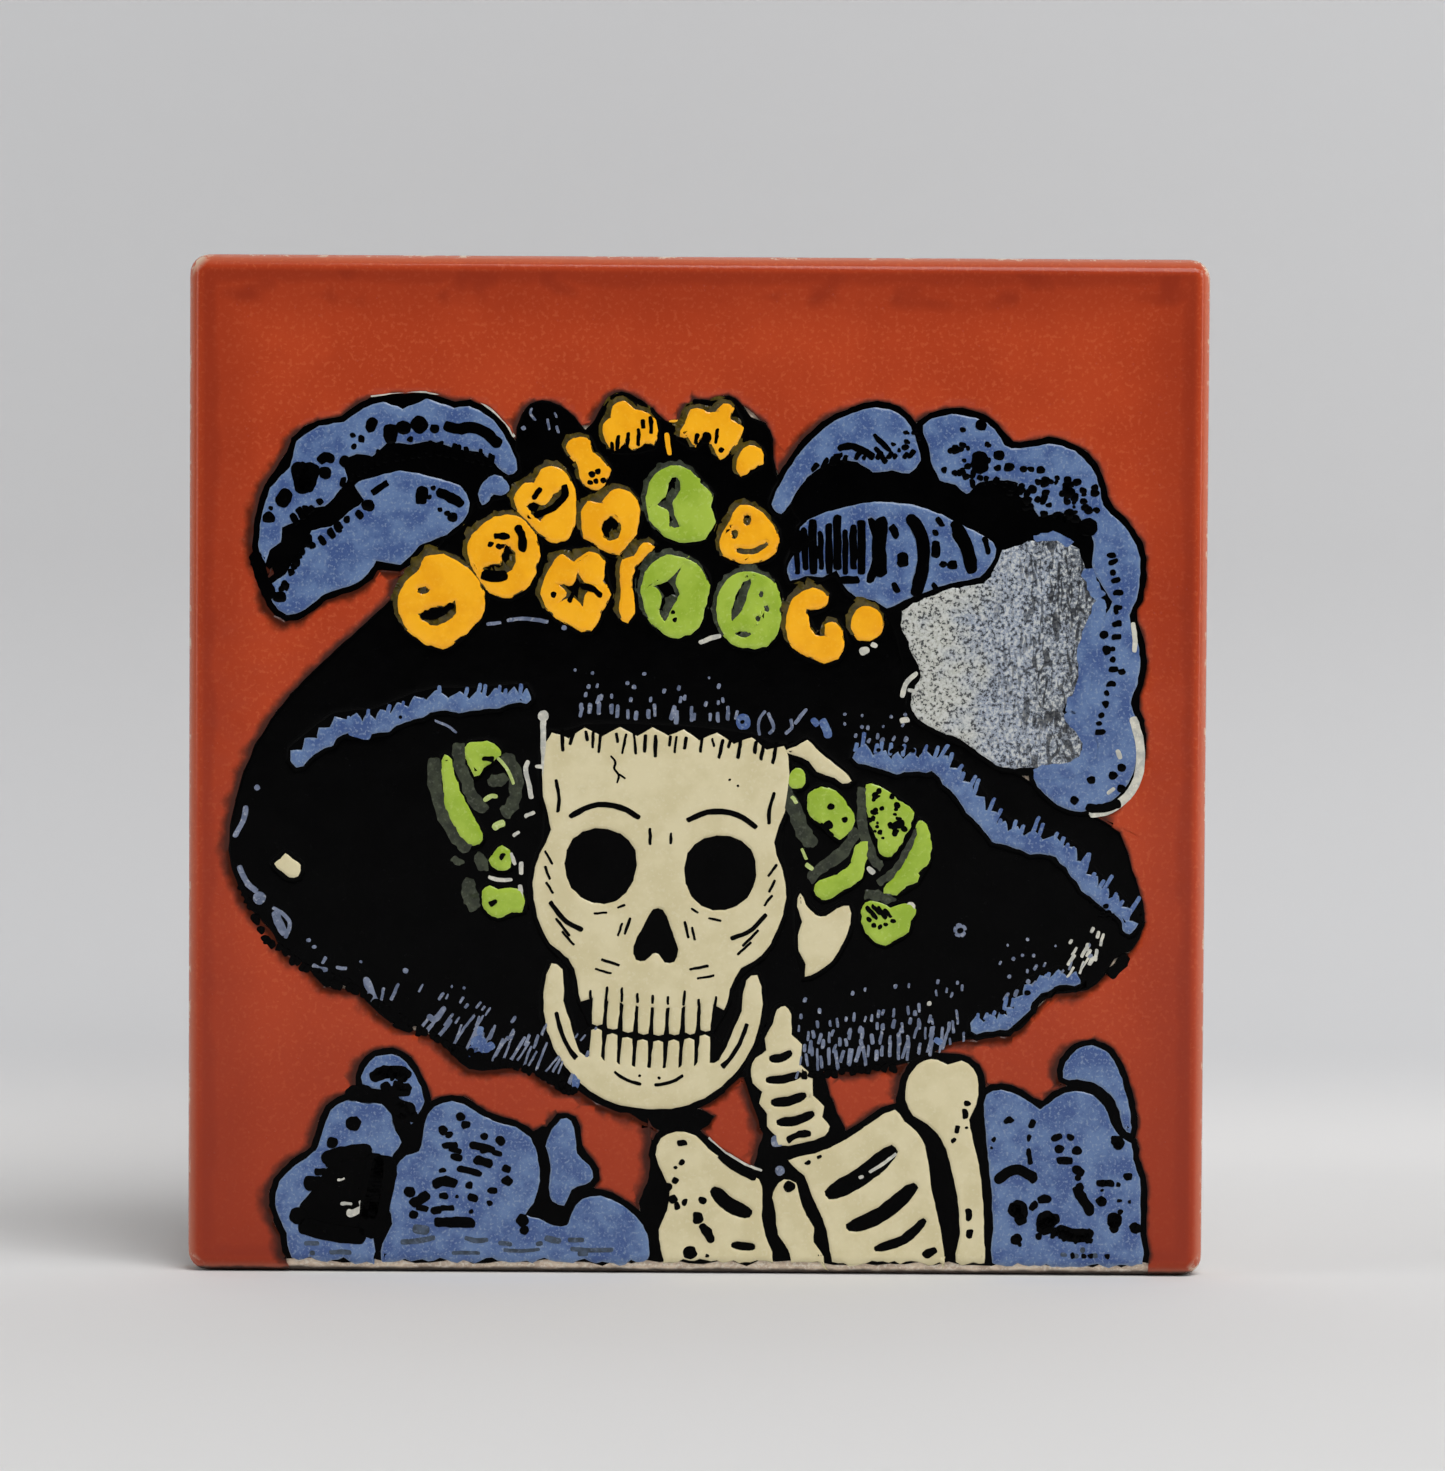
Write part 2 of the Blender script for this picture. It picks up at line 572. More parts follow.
def glazePool(nodeName, top, pitch, over, wobble, rimDrop=0.1 * mm, rimRun=0.32 * mm, wave=0.012 * mm,
              seed=0.0, shaded=None):
    piece = copyOf(nodeName)
    frontY = min(vertex.co.y for vertex in piece.data.vertices)
    selectFront(piece, frontY)
    for step in poolShape["rings"]:
        bpy.ops.mesh.inset(thickness=step, depth=0, use_boundary=True, use_even_offset=True)
    bpy.ops.object.mode_set(mode="OBJECT")
    netOver(piece, pitch)
    rim = rimPoints(piece, frontY)
    tree = rimTree(rim)
    mesh = piece.data
    distances = []
    for vertex in mesh.vertices:
        flat = Vector((vertex.co.x, 0, vertex.co.z))
        _, index, away = tree.find(flat) if rim else (None, None, 1.0)
        reach = (away + over) / mm if index is not None else farFromRim
        if shaded and index is not None:  # wider where the rim faces the way of shaded
            reach /= 0.42 + 0.72 * max(0.0, min(1.0, rim[index][1].dot(shaded) + 0.35))
        distances.append(reach)
        front = vertex.co.y < frontY + hair
        if index is not None and edgeInset(flat.x, flat.z) > tile["shoulder"]:
            wander = noise.noise(flat / poolShape["coarse"] + Vector((seed, 0, 0))) * 0.7
            wander += noise.noise(flat / poolShape["fine"] + Vector((0, seed, 0))) * 0.4
            push = (over + wobble * wander) * fade(away, poolShape["bulge"])
            vertex.co += rim[index][1] * push
        if front:
            lift = wave * noise.noise(flat / poolShape["swell"] + Vector((0, 0, seed)))
            vertex.co.y = top + rimDrop * fade(away, rimRun) ** 2 + abs(lift)
        if not nodeName.startswith("red"):
            sagToFoot(vertex, flat, seed, front)
    noteRim(mesh, distances)
    finishPiece(piece, nodeName)


poolLooks = {
    "blue_glaze": {"pitch": 0.6 * mm, "over": 0.07 * mm, "wobble": 0.16 * mm},
    "orange_glaze": {"pitch": 0.5 * mm, "over": 0.17 * mm, "wobble": 0.32 * mm},
    "green_glaze": {"pitch": 0.5 * mm, "over": 0.20 * mm, "wobble": 0.28 * mm},
    "cream_glaze": {"pitch": 0.6 * mm, "over": 0.03 * mm, "wobble": 0.10 * mm},
    "speckled_glaze": {"pitch": 0.6 * mm, "over": 0.0 * mm, "wobble": 0.35 * mm},
}
layers = ("clay_body", "ground_glaze", "black_linework", "red_background", "hat_glaze")
poolNames = [name for name in sorted(slotOf) if name not in layers and not name.startswith("red_window")]
for number, name in enumerate(poolNames):
    glazePool(name, tile["poolY"], seed=3.7 * number, **poolLooks[slotOf[name]])
print("coloured pools made", len(poolNames))

redLook = {
    "pitch": 0.8 * mm, "over": 0.13 * mm, "wobble": 0.2 * mm, "wave": 0.02 * mm,
    "rimDrop": 0.12 * mm, "rimRun": 0.45 * mm, "shaded": Vector((0.8, 0, 0.6)),
}
hatLook = {"pitch": 1.0 * mm, "over": 0.0, "wobble": 0.05 * mm, "rimDrop": 0.03 * mm, "seed": 9.0}
for name in ("red_background", "red_window_left", "red_window_right"):
    glazePool(name, tile["redY"], **redLook)
glazePool("hat_glaze", tile["hatY"], **hatLook)
print("red field and hat made")

lineLook = {"net": 1.5 * mm, "seed": 1.0}
linework = copyOf("black_linework")
netOver(linework, lineLook["net"])
lineFront = min(vertex.co.y for vertex in linework.data.vertices)
for vertex in linework.data.vertices:
    front = vertex.co.y < lineFront + hair
    if front:
        vertex.co.y = tile["lineY"]
    sagToFoot(vertex, vertex.co.copy(), lineLook["seed"], front)
for piece, name in ((linework, "black_linework"), (copyOf("ground_glaze"), "ground_glaze")):
    noteRim(piece.data)
    finishPiece(piece, name)


# thin glaze that ran out over the black, furthest towards the upper left of its pool
bandLook = {
    "least": 0.05 * mm, "most": 1.0 * mm,  # how far it runs
    "toward": Vector((-0.6, 0, 0.8)), "lip": 0.14 * mm, "ragged": 0.5 * mm,
    "inset": 0.08 * mm, "net": 0.45 * mm, "ring": 0.2 * mm, "edge": 0.03 * mm,
}


def glazeBand(nodeName, look, seed):
    piece = copyOf(nodeName)
    piece.name = "band_" + nodeName
    frontY = min(vertex.co.y for vertex in piece.data.vertices)
    selectFront(piece, frontY)
    bpy.ops.mesh.inset(thickness=bandLook["inset"], depth=0, use_boundary=True, use_even_offset=True)
    bpy.ops.object.mode_set(mode="OBJECT")
    netOver(piece, bandLook["net"])
    rim = rimPoints(piece, frontY)
    tree = rimTree(rim)
    for vertex in piece.data.vertices:
        flat = Vector((vertex.co.x, 0, vertex.co.z))
        _, index, away = tree.find(flat)
        facing = rim[index][1]
        front = vertex.co.y < frontY + hair
        lean = max(0.0, facing.dot(bandLook["toward"]) + 0.25) / 1.25
        ragged = 1 + 0.7 * noise.noise(flat / bandLook["ragged"] + Vector((seed, 0, 0)))
        reach = (bandLook["least"] + bandLook["most"] * lean) * ragged
        if away < hair:
            vertex.co += facing * max(0.0, reach)
            if front:
                vertex.co.y = tile["bandY"] + bandLook["edge"]
        elif away < bandLook["ring"] and front:
            vertex.co += facing * min(reach, away + bandLook["lip"])
            vertex.co.y = tile["bandY"]
        elif front:
            vertex.co.y = tile["seepY"]
    finishExtra(piece, look, 40)


flowerNames = [name for name in poolNames if name.split("_")[0] in ("marigold", "rose", "petal", "bud")]
for number, name in enumerate(flowerNames):
    glazeBand(name, "oliveGrey" if name.startswith("rose") else "olive", seed=2.3 * number)
print("thin glaze over the black made", len(flowerNames))


# one stroke's control points, with rounded tips
def strokePoints(width, places):
    points = [Vector((x, 0, z)) for x, z in zip(places[::2], places[1::2])]
    if len(points) == 1:
        tip = Vector((0, 0, 0.5 * width))
        points = [points[0] - tip, points[0] + tip]
    short = width - (points[-1] - points[0]).length
    if len(points) == 2 and short > 0:
        along = (points[1] - points[0]).normalized() * 0.5 * short
        points = [points[0] - along, points[1] + along]
    first = (points[1] - points[0]).normalized() * min(width, (points[1] - points[0]).length)
    last = (points[-1] - points[-2]).normalized() * min(width, (points[-1] - points[-2]).length)
    start = [points[0], points[0] + 0.04 * first, points[0] + 0.45 * first]
    end = [points[-1] - 0.45 * last, points[-1] - 0.04 * last, points[-1]]
    middle = points[1:-1]
    tip = [0.1, 0.85]  # thickness of the round tips, as a share of the width
    return start + middle + end, [*tip, *([1.15] * (len(middle) + 2)), *reversed(tip)]


# brush strokes of ink or thin glaze
# each is (width, x, z, x, z, ...) in millimetres, and a single place is a dot
markLook = {"sunk": 0.1 * mm, "wobble": 0.55 * mm, "shift": Vector((7, 3, 5))}


def brushMarks(name, look, onY, strokes, rise=0.03 * mm, rough=0.07 * mm):
    data = bpy.data.curves.new(name, "CURVE")
    data.dimensions = "3D"
    data.bevel_depth = 0.5 * mm  # half the width of a stroke of radius 1
    data.bevel_resolution = 1
    data.use_fill_caps = True
    data.resolution_u = 3
    for width, *places in strokes:
        points, radii = strokePoints(width, places)
        spline = data.splines.new("NURBS")
        spline.points.add(len(points) - 1)
        spline.order_u = 3
        spline.use_endpoint_u = True
        spline.resolution_u = 3
        for point, at, radius in zip(spline.points, points, radii):
            point.co = (at.x * mm, onY, at.z * mm, 1)
            point.radius = radius * width
    curve = bpy.data.objects.new(name, data)
    bpy.context.scene.collection.objects.link(curve)
    activate(curve)
    bpy.ops.object.convert(target="MESH")
    piece = bpy.context.active_object
    for vertex in piece.data.vertices:
        deep = (vertex.co.y - onY) / markLook["sunk"]
        vertex.co.y = onY + math.tanh(deep) * (rise if deep < 0 else markLook["sunk"])
        at = vertex.co / markLook["wobble"]
        vertex.co.x += rough * noise.noise(at)
        vertex.co.z += rough * noise.noise(at + markLook["shift"])
    finishExtra(piece, look, 60)


# rows of short strokes from one point to another, thinner and sparser row by row
def hatchRows(seed, start, end, rows, pitch, lean, longest, width, rise=1.5, thin=0.62):
    pick = random.Random(seed)
    strokes = []
    span = math.dist(start, end)
    for row in range(rows):
        keep = thin ** row
        for i in range(int(span / pitch)):
            if pick.random() > keep:
                continue
            t = (i + 0.5 + 0.6 * pick.uniform(-1, 1)) * pitch / span
            x = start[0] + (end[0] - start[0]) * t
            z = start[1] + (end[1] - start[1]) * t + row * rise + pick.uniform(-0.4, 0.4)
            length = longest * keep * pick.uniform(0.5, 1.1)
            turn = math.radians(lean + pick.uniform(-14, 14))
            dx, dz = 0.5 * length * math.cos(turn), 0.5 * length * math.sin(turn)
            strokes.append((width * pick.uniform(0.7, 1.25), x - dx, z - dz, x + dx, z + dz))
    return strokes


# dots scattered inside an oval
def scatter(seed, count, x, z, reachX, reachZ, low, high):
    pick = random.Random(seed)
    dots = []
    for _ in range(count):
        turn, far = pick.uniform(0, 2 * math.pi), math.sqrt(pick.random())
        dx, dz = reachX * far * math.cos(turn), reachZ * far * math.sin(turn)
        dots.append((pick.uniform(low, high), x + dx, z + dz))
    return dots


# teeth that stand up from a path, as combed glaze
def combTeeth(seed, path, pitch, low, high, lean, width):
    pick = random.Random(seed)
    strokes = []
    for (x0, z0), (x1, z1) in zip(path, path[1:]):
        for i in range(max(1, round(math.dist((x0, z0), (x1, z1)) / pitch))):
            t = (i + pick.uniform(0.2, 0.8)) * pitch / math.dist((x0, z0), (x1, z1))
            x, z = x0 + (x1 - x0) * t, z0 + (z1 - z0) * t
            length, turn = pick.uniform(low, high), math.radians(lean + pick.uniform(-10, 10))
            strokes.append((width, x, z, x + length * math.cos(turn), z + length * math.sin(turn)))
    return strokes


leftPlumeInk = [
    (1.5, -41.3, 83.7, -40.9, 82.4, -40.6, 80.4), (1.5, -39.6, 83.6, -40.1, 82.2, -40.5, 80.6),
    (1.3, -43.1, 79.1, -42.2, 80.9), (1.0, -44.2, 78), (0.4, -44, 78.9),
    (0.9, -39.1, 83.7, -38.4, 84.3, -37.5, 83.9), (1.1, -38.7, 82.6, -38.2, 82.6),
    (1.0, -34, 86.8, -33.4, 88.3), (0.45, -35.6, 86.5), (0.45, -35.5, 85.3),
    (0.5, -34.7, 85.7, -34.7, 86.5), (1.2, -30.4, 87.1, -30.4, 87.5), (1.5, -29.4, 88.1, -28.2, 87.1),
    (0.8, -27.2, 86.9, -27.2, 87.5), (1.1, -31.7, 85.6, -31.7, 87.7), (0.5, -29.7, 86.1),
    (0.95, -26.3, 87.6, -24.8, 87.1, -23.4, 87.5, -21.9, 86.9, -20.4, 85.4),
    (0.5, -26.6, 84.4, -26.4, 85.6), (0.5, -25.2, 84.2, -25.1, 85.8), (0.45, -23.9, 84.2, -24, 85.4),
    (0.5, -22.6, 83.8, -22.4, 85.2), (0.45, -21.4, 83.4, -21.2, 84.6), (0.5, -28, 84.6, -27.9, 85.5),
    (0.6, -33.7, 80.5, -31.9, 81.7), (1.1, -28.6, 79.4, -28.4, 81.3), (0.4, -27.3, 81.1),
    (0.4, -27.7, 80.2), (0.9, -27, 80.8, -25.6, 80.2, -24.2, 79.4), (0.45, -26.6, 78.9),
    (0.45, -25.9, 78.5), (0.8, -25.3, 77.8, -25.3, 78.4), (1.0, -34, 79.3), (0.6, -40.1, 74.9, -40.1, 76.3),
    (0.6, -41.4, 72.9, -41.4, 74.1), (0.7, -42.5, 70.7, -42.5, 71.2), (1.0, -43.1, 69.8),
    (1.0, -36.6, 83.4, -36.2, 84.2),
    *combTeeth(51, [(-37, 81), (-32.5, 83.6), (-27, 84.4), (-21, 83.2)], 0.85, 0.5, 1.7, 82, 0.5),
    *combTeeth(52, [(-43.4, 70.2), (-41, 74.6), (-37.4, 77.4), (-34.4, 79.2)], 1.0, 0.5, 1.2, -62, 0.6),
    *combTeeth(53, [(-41.6, 77), (-38.4, 79.6)], 0.8, 0.5, 1.4, 120, 0.6),
]
rightPlumeInk = [
    (0.6, 14.2, 85.4, 15.4, 85.7, 16.6, 85.4, 18, 84.5), (0.45, 13.8, 84.6, 14.8, 84.8),
    (0.45, 17.9, 86.9, 19.7, 85.1), (0.45, 18, 85.6, 19.3, 83.9),
    *scatter(1, 9, 21.3, 86.2, 1.4, 1.3, 0.3, 0.55), (1.0, 28.7, 87.9, 29.2, 87.9), (0.5, 27.1, 87.4),
    (0.5, 26.8, 85.4), (0.4, 27.6, 85.5), (1.5, 28.8, 85.2, 29, 82.9), (0.9, 30.8, 84.5, 30.8, 85.1),
    (0.6, 30.7, 83.5), (0.8, 31.9, 83.6), (0.6, 33.4, 83.4), (0.5, 34.1, 83.4), (0.7, 35.1, 83.3),
    (0.5, 28.1, 81.4, 28.1, 82.4), (0.5, 36.1, 82.1), (0.4, 36.7, 82.1), (0.6, 37.9, 82.3),
    (0.7, 38.9, 82.1), (0.4, 33.4, 81.2), (0.4, 34.1, 81.2), (0.6, 35.6, 81), (1.0, 38, 80.8, 38, 81.2),
    (0.6, 39.5, 81.2), (0.5, 36, 79.7), (0.8, 38.1, 78.9), (0.6, 39.7, 79.5), (0.6, 40.9, 79.2),
    (1.5, 36.9, 77.8, 37.4, 77.8), (1.6, 40, 77.2, 40.1, 77.7), (0.7, 41.6, 66.4, 41.9, 66.4),
    (0.8, 41.8, 64.8, 42.3, 64.8), (0.6, 43.6, 62.4, 43.6, 62.8), (0.4, 41.8, 59.1, 42.3, 59.1),
    (0.7, 43.7, 52.7), (0.7, 42.8, 51.9), (0.7, 40.6, 51.4), (0.7, 43.7, 50.6), (0.7, 38.9, 49.3),
    (0.8, 40, 48.6, 41.6, 48.4, 43.6, 49.1), *scatter(54, 34, 36.4, 80.6, 4.6, 2.8, 0.3, 0.85),
    *scatter(55, 16, 27.6, 84.6, 2.6, 2.2, 0.3, 0.7),
    *combTeeth(56, [(41.8, 75.4), (42.8, 70), (42.2, 62), (40.8, 56)], 1.1, 0.5, 1.3, 8, 0.5),
    *combTeeth(57, [(11.4, 83), (15.6, 84.2), (21.6, 84.4)], 0.8, 0.5, 1.4, 60, 0.45),
    *combTeeth(58, [(24.6, 83), (30, 82), (36, 79.4)], 0.9, 0.5, 1.5, 70, 0.55),
]


# the even row of short barbs at the left of the inner plume
barbRow = {
    "count": 9, "footX": 10.2, "tipX": 10, "footPitch": 0.82, "tipPitch": 0.84, "foot": 72.4, "tip": 77.2,
}


def leftBarbs():
    strokes = []
    for i in range(barbRow["count"]):
        footX, tipX = barbRow["footX"] + barbRow["footPitch"] * i, barbRow["tipX"] + barbRow["tipPitch"] * i
        foot, tip = barbRow["foot"] + 0.5 * (i % 2), barbRow["tip"] + 0.7 * (i % 3) - 0.16 * abs(i - 5)
        strokes.append((0.5 + 0.12 * (i % 3), footX, foot, tipX, tip))
    return strokes


barbInk = [
    (1.2, 18.9, 78.4, 18.5, 75.6, 18.8, 72.2), (1.1, 21.6, 78.6, 23.1, 76.4, 23.2, 73.2, 22.3, 70.2),
    (1.1, 26.2, 78, 27.6, 75.6, 28.2, 72.6), (0.5, 24.3, 76.8), (0.7, 24.4, 74.2, 24.4, 76),
    (0.6, 25.2, 73.2, 25.2, 74), (0.8, 26.1, 73, 26.1, 74), (0.9, 21, 73.2, 21, 74.8),
    (0.7, 19.8, 77.6, 20.4, 76.2), (0.6, 20, 71.6, 20.6, 70.6), (0.5, 24.4, 78.4, 25.2, 77.4),
    (0.5, 29.4, 76.4, 29.8, 74.6), (0.5, 24, 71.6, 24.6, 70.8),
    *leftBarbs(),
    (1.1, 10.4, 77, 9.9, 74.6), (0.8, 12.2, 75.4, 12, 74), (0.7, 14.4, 71.9, 16.6, 71.9),
]
flowerInk = [
    (0.7, -18.7, 77.3, -18, 75.9, -18.2, 74.6), (0.55, -21.1, 76.2, -19.4, 76.2), (0.5, -21.4, 75.4),
    (0.5, -20.5, 75.1), (1.0, -22.4, 72.3, -21, 72, -19.6, 72.2),
    (0.6, -13.9, 81.6, -13.6, 80.4, -15.2, 78.9, -17, 78.3), (0.5, -17.1, 80.1, -16.2, 81.2),
    (0.6, -28.6, 68, -26.9, 67.9, -25.2, 69.2), (0.5, -12.2, 71.2, -11, 70.9, -9.9, 70.1),
    (0.45, -13.4, 69.4, -12.8, 70.4), (0.4, -9.8, 85.7, -9.6, 84.4), (0.4, -9, 86, -8.9, 84.7),
    (0.35, -8.3, 86.6, -8.4, 85.1), (0.35, -7.3, 87, -7.4, 85.3), (0.35, -6.2, 87.3, -6.3, 85.5),
    (0.4, -5.8, 88.3, -5.7, 87.3), (0.35, -5, 88.6, -4.9, 86.8), (0.9, 0.9, 87, 0.6, 85.8),
    (0.35, 1.9, 87.4, 1.7, 85.8), (0.35, -0.2, 86.9, -0.4, 85.8), (0.5, 2.3, 85.2), (0.5, -11, 82.6),
    (0.5, -10.4, 82.9), (0.45, -10.6, 81.9), (0.5, -9.8, 82), (0.4, -11.2, 81.8), (0.35, -2.6, 68.5),
    (0.35, -2.4, 67.7), (0.5, -14.9, 70.2), (0.4, -20.2, 75.2),
]
bowInk = [
    (0.6, 13.8, 48.5), (0.8, 13.3, 46.9, 13.7, 46.3), (0.35, 12.7, 46.8, 14, 45.4), (0.5, 15.2, 47.2),
    (0.8, 20.2, 46.6, 21.4, 46.9), (0.6, 21.5, 46.6, 21.2, 46),
    *scatter(2, 30, 19.3, 47.4, 1.6, 3.0, 0.22, 0.55), (0.4, 17.4, 38.3, 18.7, 36.9),
    (0.35, 18, 38.4, 19, 37.4), (0.4, 18.6, 38.2, 19.6, 37), (0.35, 19.3, 38, 20.1, 37.1),
    (0.4, 17.8, 36.9), (0.4, 18.3, 36.3), (0.4, 18.9, 36.1), (0.4, 19.5, 36.4), (0.4, 20.3, 36.7),
    (0.5, -22.2, 53.3, -20.9, 53.2), (0.6, -21.4, 38.2, -20.6, 38.6), (0.45, -20.3, 42.9, -19.8, 43.5),
]
leftSleeveInk = [
    (1.1, -33.4, 20.4, -31.4, 21, -29.6, 20.2), (0.95, -31.9, 18.9, -29.4, 18.8),
    (0.9, -31.2, 17.5, -29.5, 17.3), (1.4, -30.6, 16.6, -30.2, 14.9), (0.8, -29.2, 16.8, -29.2, 15.6),
    (1.3, -36.2, 18.4, -34.4, 18.8, -33, 18),
    *combTeeth(71, [(-26.4, 13), (-20.6, 12.6)], 2.3, 0.9, 1.8, -6, 0.5),
    *combTeeth(75, [(-29.8, 6.9), (-25.4, 6.7)], 2.1, 1.0, 1.7, -3, 0.55),
    *combTeeth(76, [(-40.8, 9.4), (-37.4, 11.8)], 1.3, 0.9, 1.8, 4, 0.6),
    (1.1, -33.6, 20.1, -32.2, 20.8, -30.4, 20.9, -29.5, 20.3), (0.4, -31.3, 20.1), (0.5, -30.4, 20),
    (0.9, -32.3, 19.2, -31.7, 19.4), (0.9, -31.3, 19.6, -30.3, 19.2, -29.3, 19.2),
    (0.6, -31.7, 18.6, -31.1, 18.4), (1.2, -30.9, 17.6, -30.4, 16.8, -29.9, 16),
    (0.9, -30.4, 17.3, -29.4, 17.2, -29.3, 16), (1.3, -35.4, 15.5, -35.2, 15.4),
    (1.0, -37.9, 13, -37.1, 13.9), (2.3, -31.9, 12.2, -32.4, 9, -33.2, 5.4, -33.6, 3.6),
    (1.6, -33, 12.4, -33.3, 9, -33.9, 5.4), (1.2, -38.6, 11.7, -36.4, 12.4, -33.4, 12.8),
    (1.4, -40.4, 9, -38.9, 9.5), (1.5, -41.6, 6.1, -40.4, 5.6), (1.5, -41, 5, -38, 4.1, -34, 3.7),
    (0.8, -24.4, 16.4, -24.1, 16), (0.7, -24.2, 15.3, -23.2, 15.5), (0.85, -26.3, 14.4, -25.8, 15.2),
    (0.6, -25.4, 14.3), (0.7, -22.1, 14.2, -21.5, 14.2), (0.85, -20.6, 13.9, -19.7, 13.6),
    (0.65, -26.2, 13.2, -24.5, 13.3), (0.7, -23.3, 13.3, -22, 13.1, -20.7, 12.7),
    (0.6, -25.3, 12.1, -24, 11.9), (0.8, -22.9, 11.9, -20.9, 11.3), (0.7, -20, 11, -19, 10.7),
    (0.4, -26.5, 10.6, -25.7, 10.7), (0.6, -24.6, 10.9, -23.2, 10.6, -22, 10.2),
    (0.9, -19.9, 9.9, -18.9, 9.3), (0.9, -27.2, 9.1, -25.9, 9.6, -24.5, 9.2), (0.7, -23.5, 9.1, -23.1, 9.1),
    (0.6, -21.4, 8.7, -20.4, 8.5), (1.0, -29.7, 8.4, -29.3, 8.4), (0.9, -29.5, 7.1, -28.4, 7.6, -27.4, 8.2),
    (0.6, -26.5, 8, -25.5, 8), (0.3, -24.6, 7.9), (0.7, -23.5, 8, -22.4, 7.6), (0.5, -21.2, 7.3),
    (0.8, -29.5, 5.9, -28.6, 6.2), (0.7, -27.3, 6.4, -26.1, 6.6), (0.4, -23.1, 6.4),
    (0.9, -27, 5.3, -25, 5.3, -22.7, 5.2), (1.1, -18.2, 5.8, -17.5, 5.2), (0.8, -17.8, 4.7, -17.4, 4.3),
]
rightSleeveInk = [
    (1.4, 33.2, 7.9, 33.9, 5.8), (1.7, 35.9, 6.4, 36.8, 5.2), (1.2, 37.2, 4.9, 39, 4.2, 40.9, 4.4),
    (0.9, 33.2, 3.8), (1.3, 42.7, 6, 44, 5.6), (0.9, 45.6, 5), (1.0, 43, 14.4, 44.3, 13.6),
    (0.7, 44.7, 10.4), (0.8, 42, 7.8), (0.8, 37.6, 13.2), (0.8, 39.4, 13.1), (0.65, 37.3, 12.1, 39, 12),
    (0.75, 39, 11.2, 40.2, 10.7), (0.6, 41.4, 9.7, 43.3, 9.7),
    *combTeeth(77, [(36.6, 4.6), (41.2, 4)], 0.7, 0.5, 0.9, -100, 0.4),
    *combTeeth(78, [(38, 2.2), (42.6, 2.1)], 1.2, 0.4, 0.9, 0, 0.5),
    (0.55, 31.9, 15.9, 32.4, 16.3, 32.8, 16), (0.35, 30.7, 13.9, 31, 14.4), (0.3, 30.6, 13.3),
    (0.6, 34.5, 15.4, 35, 16.2), (0.4, 34.4, 14, 34.5, 14.7), (0.45, 34.4, 13.3, 34.5, 12.3, 34.7, 11.6),
    (0.9, 31, 9.7, 32.2, 10.8, 33.3, 11.2, 34.5, 10.6, 35.3, 9.9), (0.6, 36.7, 14.2, 37.9, 14.6),
    (0.5, 38.3, 14.6, 39.1, 14.3), (0.6, 37.3, 13.1, 38, 13.2), (0.6, 39.1, 13.1, 39.9, 13.2),
    (0.6, 37.5, 12.1, 39, 12), (0.7, 39, 11.3, 39.9, 11), (0.55, 39.3, 10.3, 39.8, 10.2),
    (0.9, 39.4, 9.4, 39.7, 8.5, 40.5, 7.5, 41, 6.4), (0.7, 39.3, 9.3, 40.2, 9.4), (0.6, 41.6, 9.7, 43, 9.7),
    (0.45, 43.5, 9.6, 44, 9.5), (0.3, 42.1, 9), (0.9, 41.7, 7.6, 42.2, 8), (0.25, 43.6, 7.9, 44.1, 7.9),
    (0.25, 44.9, 7.5, 44.9, 8), (0.5, 43.9, 6.9, 44, 6.6), (1.3, 42.9, 6, 43.8, 5.8),
    (0.7, 43.3, 4.7, 43.3, 5.3), (0.7, 44.7, 10.5, 44.8, 10.2), (0.9, 43.2, 13.8, 44.1, 13.6),
    (0.4, 43, 14.6, 43.3, 14.1), (0.8, 45.1, 5, 45.7, 5.3), (1.2, 33.1, 7.7, 33, 6.1),
    (1.1, 33.2, 5.8, 34.2, 6.1), (0.7, 34.6, 6.9, 35.4, 7.7), (0.8, 35.4, 7.9, 36.8, 8.1),
    (1.6, 36, 5.6, 36.4, 4.9), (1.1, 36.6, 5.9, 37.4, 6), (0.6, 35.5, 4.4, 35.6, 3.9),
    (0.9, 36.7, 4.6, 38.2, 4.7, 39.3, 4.2, 40.2, 4, 41.1, 4.8), (0.7, 32.9, 4.1, 33.7, 4),
    (0.4, 33.5, 3.6, 33.6, 3.1),
]
chestInk = [
    (0.5, -1.9, 13.6, -0.8, 13.7), (0.55, -1.6, 11.6, -1.2, 11.7), (0.3, -2, 11.1),
    (0.6, -2.3, 9.9, -1.8, 9.6), (0.5, -1.1, 7.1, -1, 7.9), (0.6, 0.8, 7.7), (0.9, 0.4, 6.5, 0.2, 5.2),
    (0.8, 0.6, 5.2, 1.4, 4.3, 1.8, 3.3), (1.1, -0.5, 2.6, -0.5, 1.9), (0.35, 1.1, 2, 1.5, 1.9),
    (0.7, -2.9, 9.4, -2.6, 8.7), (0.8, -2.4, 8.2, -2.1, 7.4), (0.5, -1.9, 7.5, -1.8, 6.7),
    (0.45, 2.4, 12.3, 4, 11, 6.3, 9.9), (1.0, 9.2, 9.1, 10.3, 9.3), (0.5, 28.1, 17.9),
    (0.5, 27.8, 17.4, 27.9, 16.3), (0.5, 27, 14.8, 27.1, 15.7), (0.25, 28, 15.4),
    (0.35, 26.5, 13.8, 26.9, 14.3), (0.5, 28.3, 5.7, 28.3, 7), (0.55, 28.4, 3.9, 28.4, 4.9),
    (0.4, 11.4, 11.5, 11.9, 11.9), (0.35, 12.5, 12.2, 13.1, 12.4), (0.7, 23.6, 2, 25, 2.8),
    (0.6, 9.4, 13.9, 10.6, 14.6, 12, 14.7),
]
inkLook = {"swell": 1.2, "rough": 0.13 * mm}
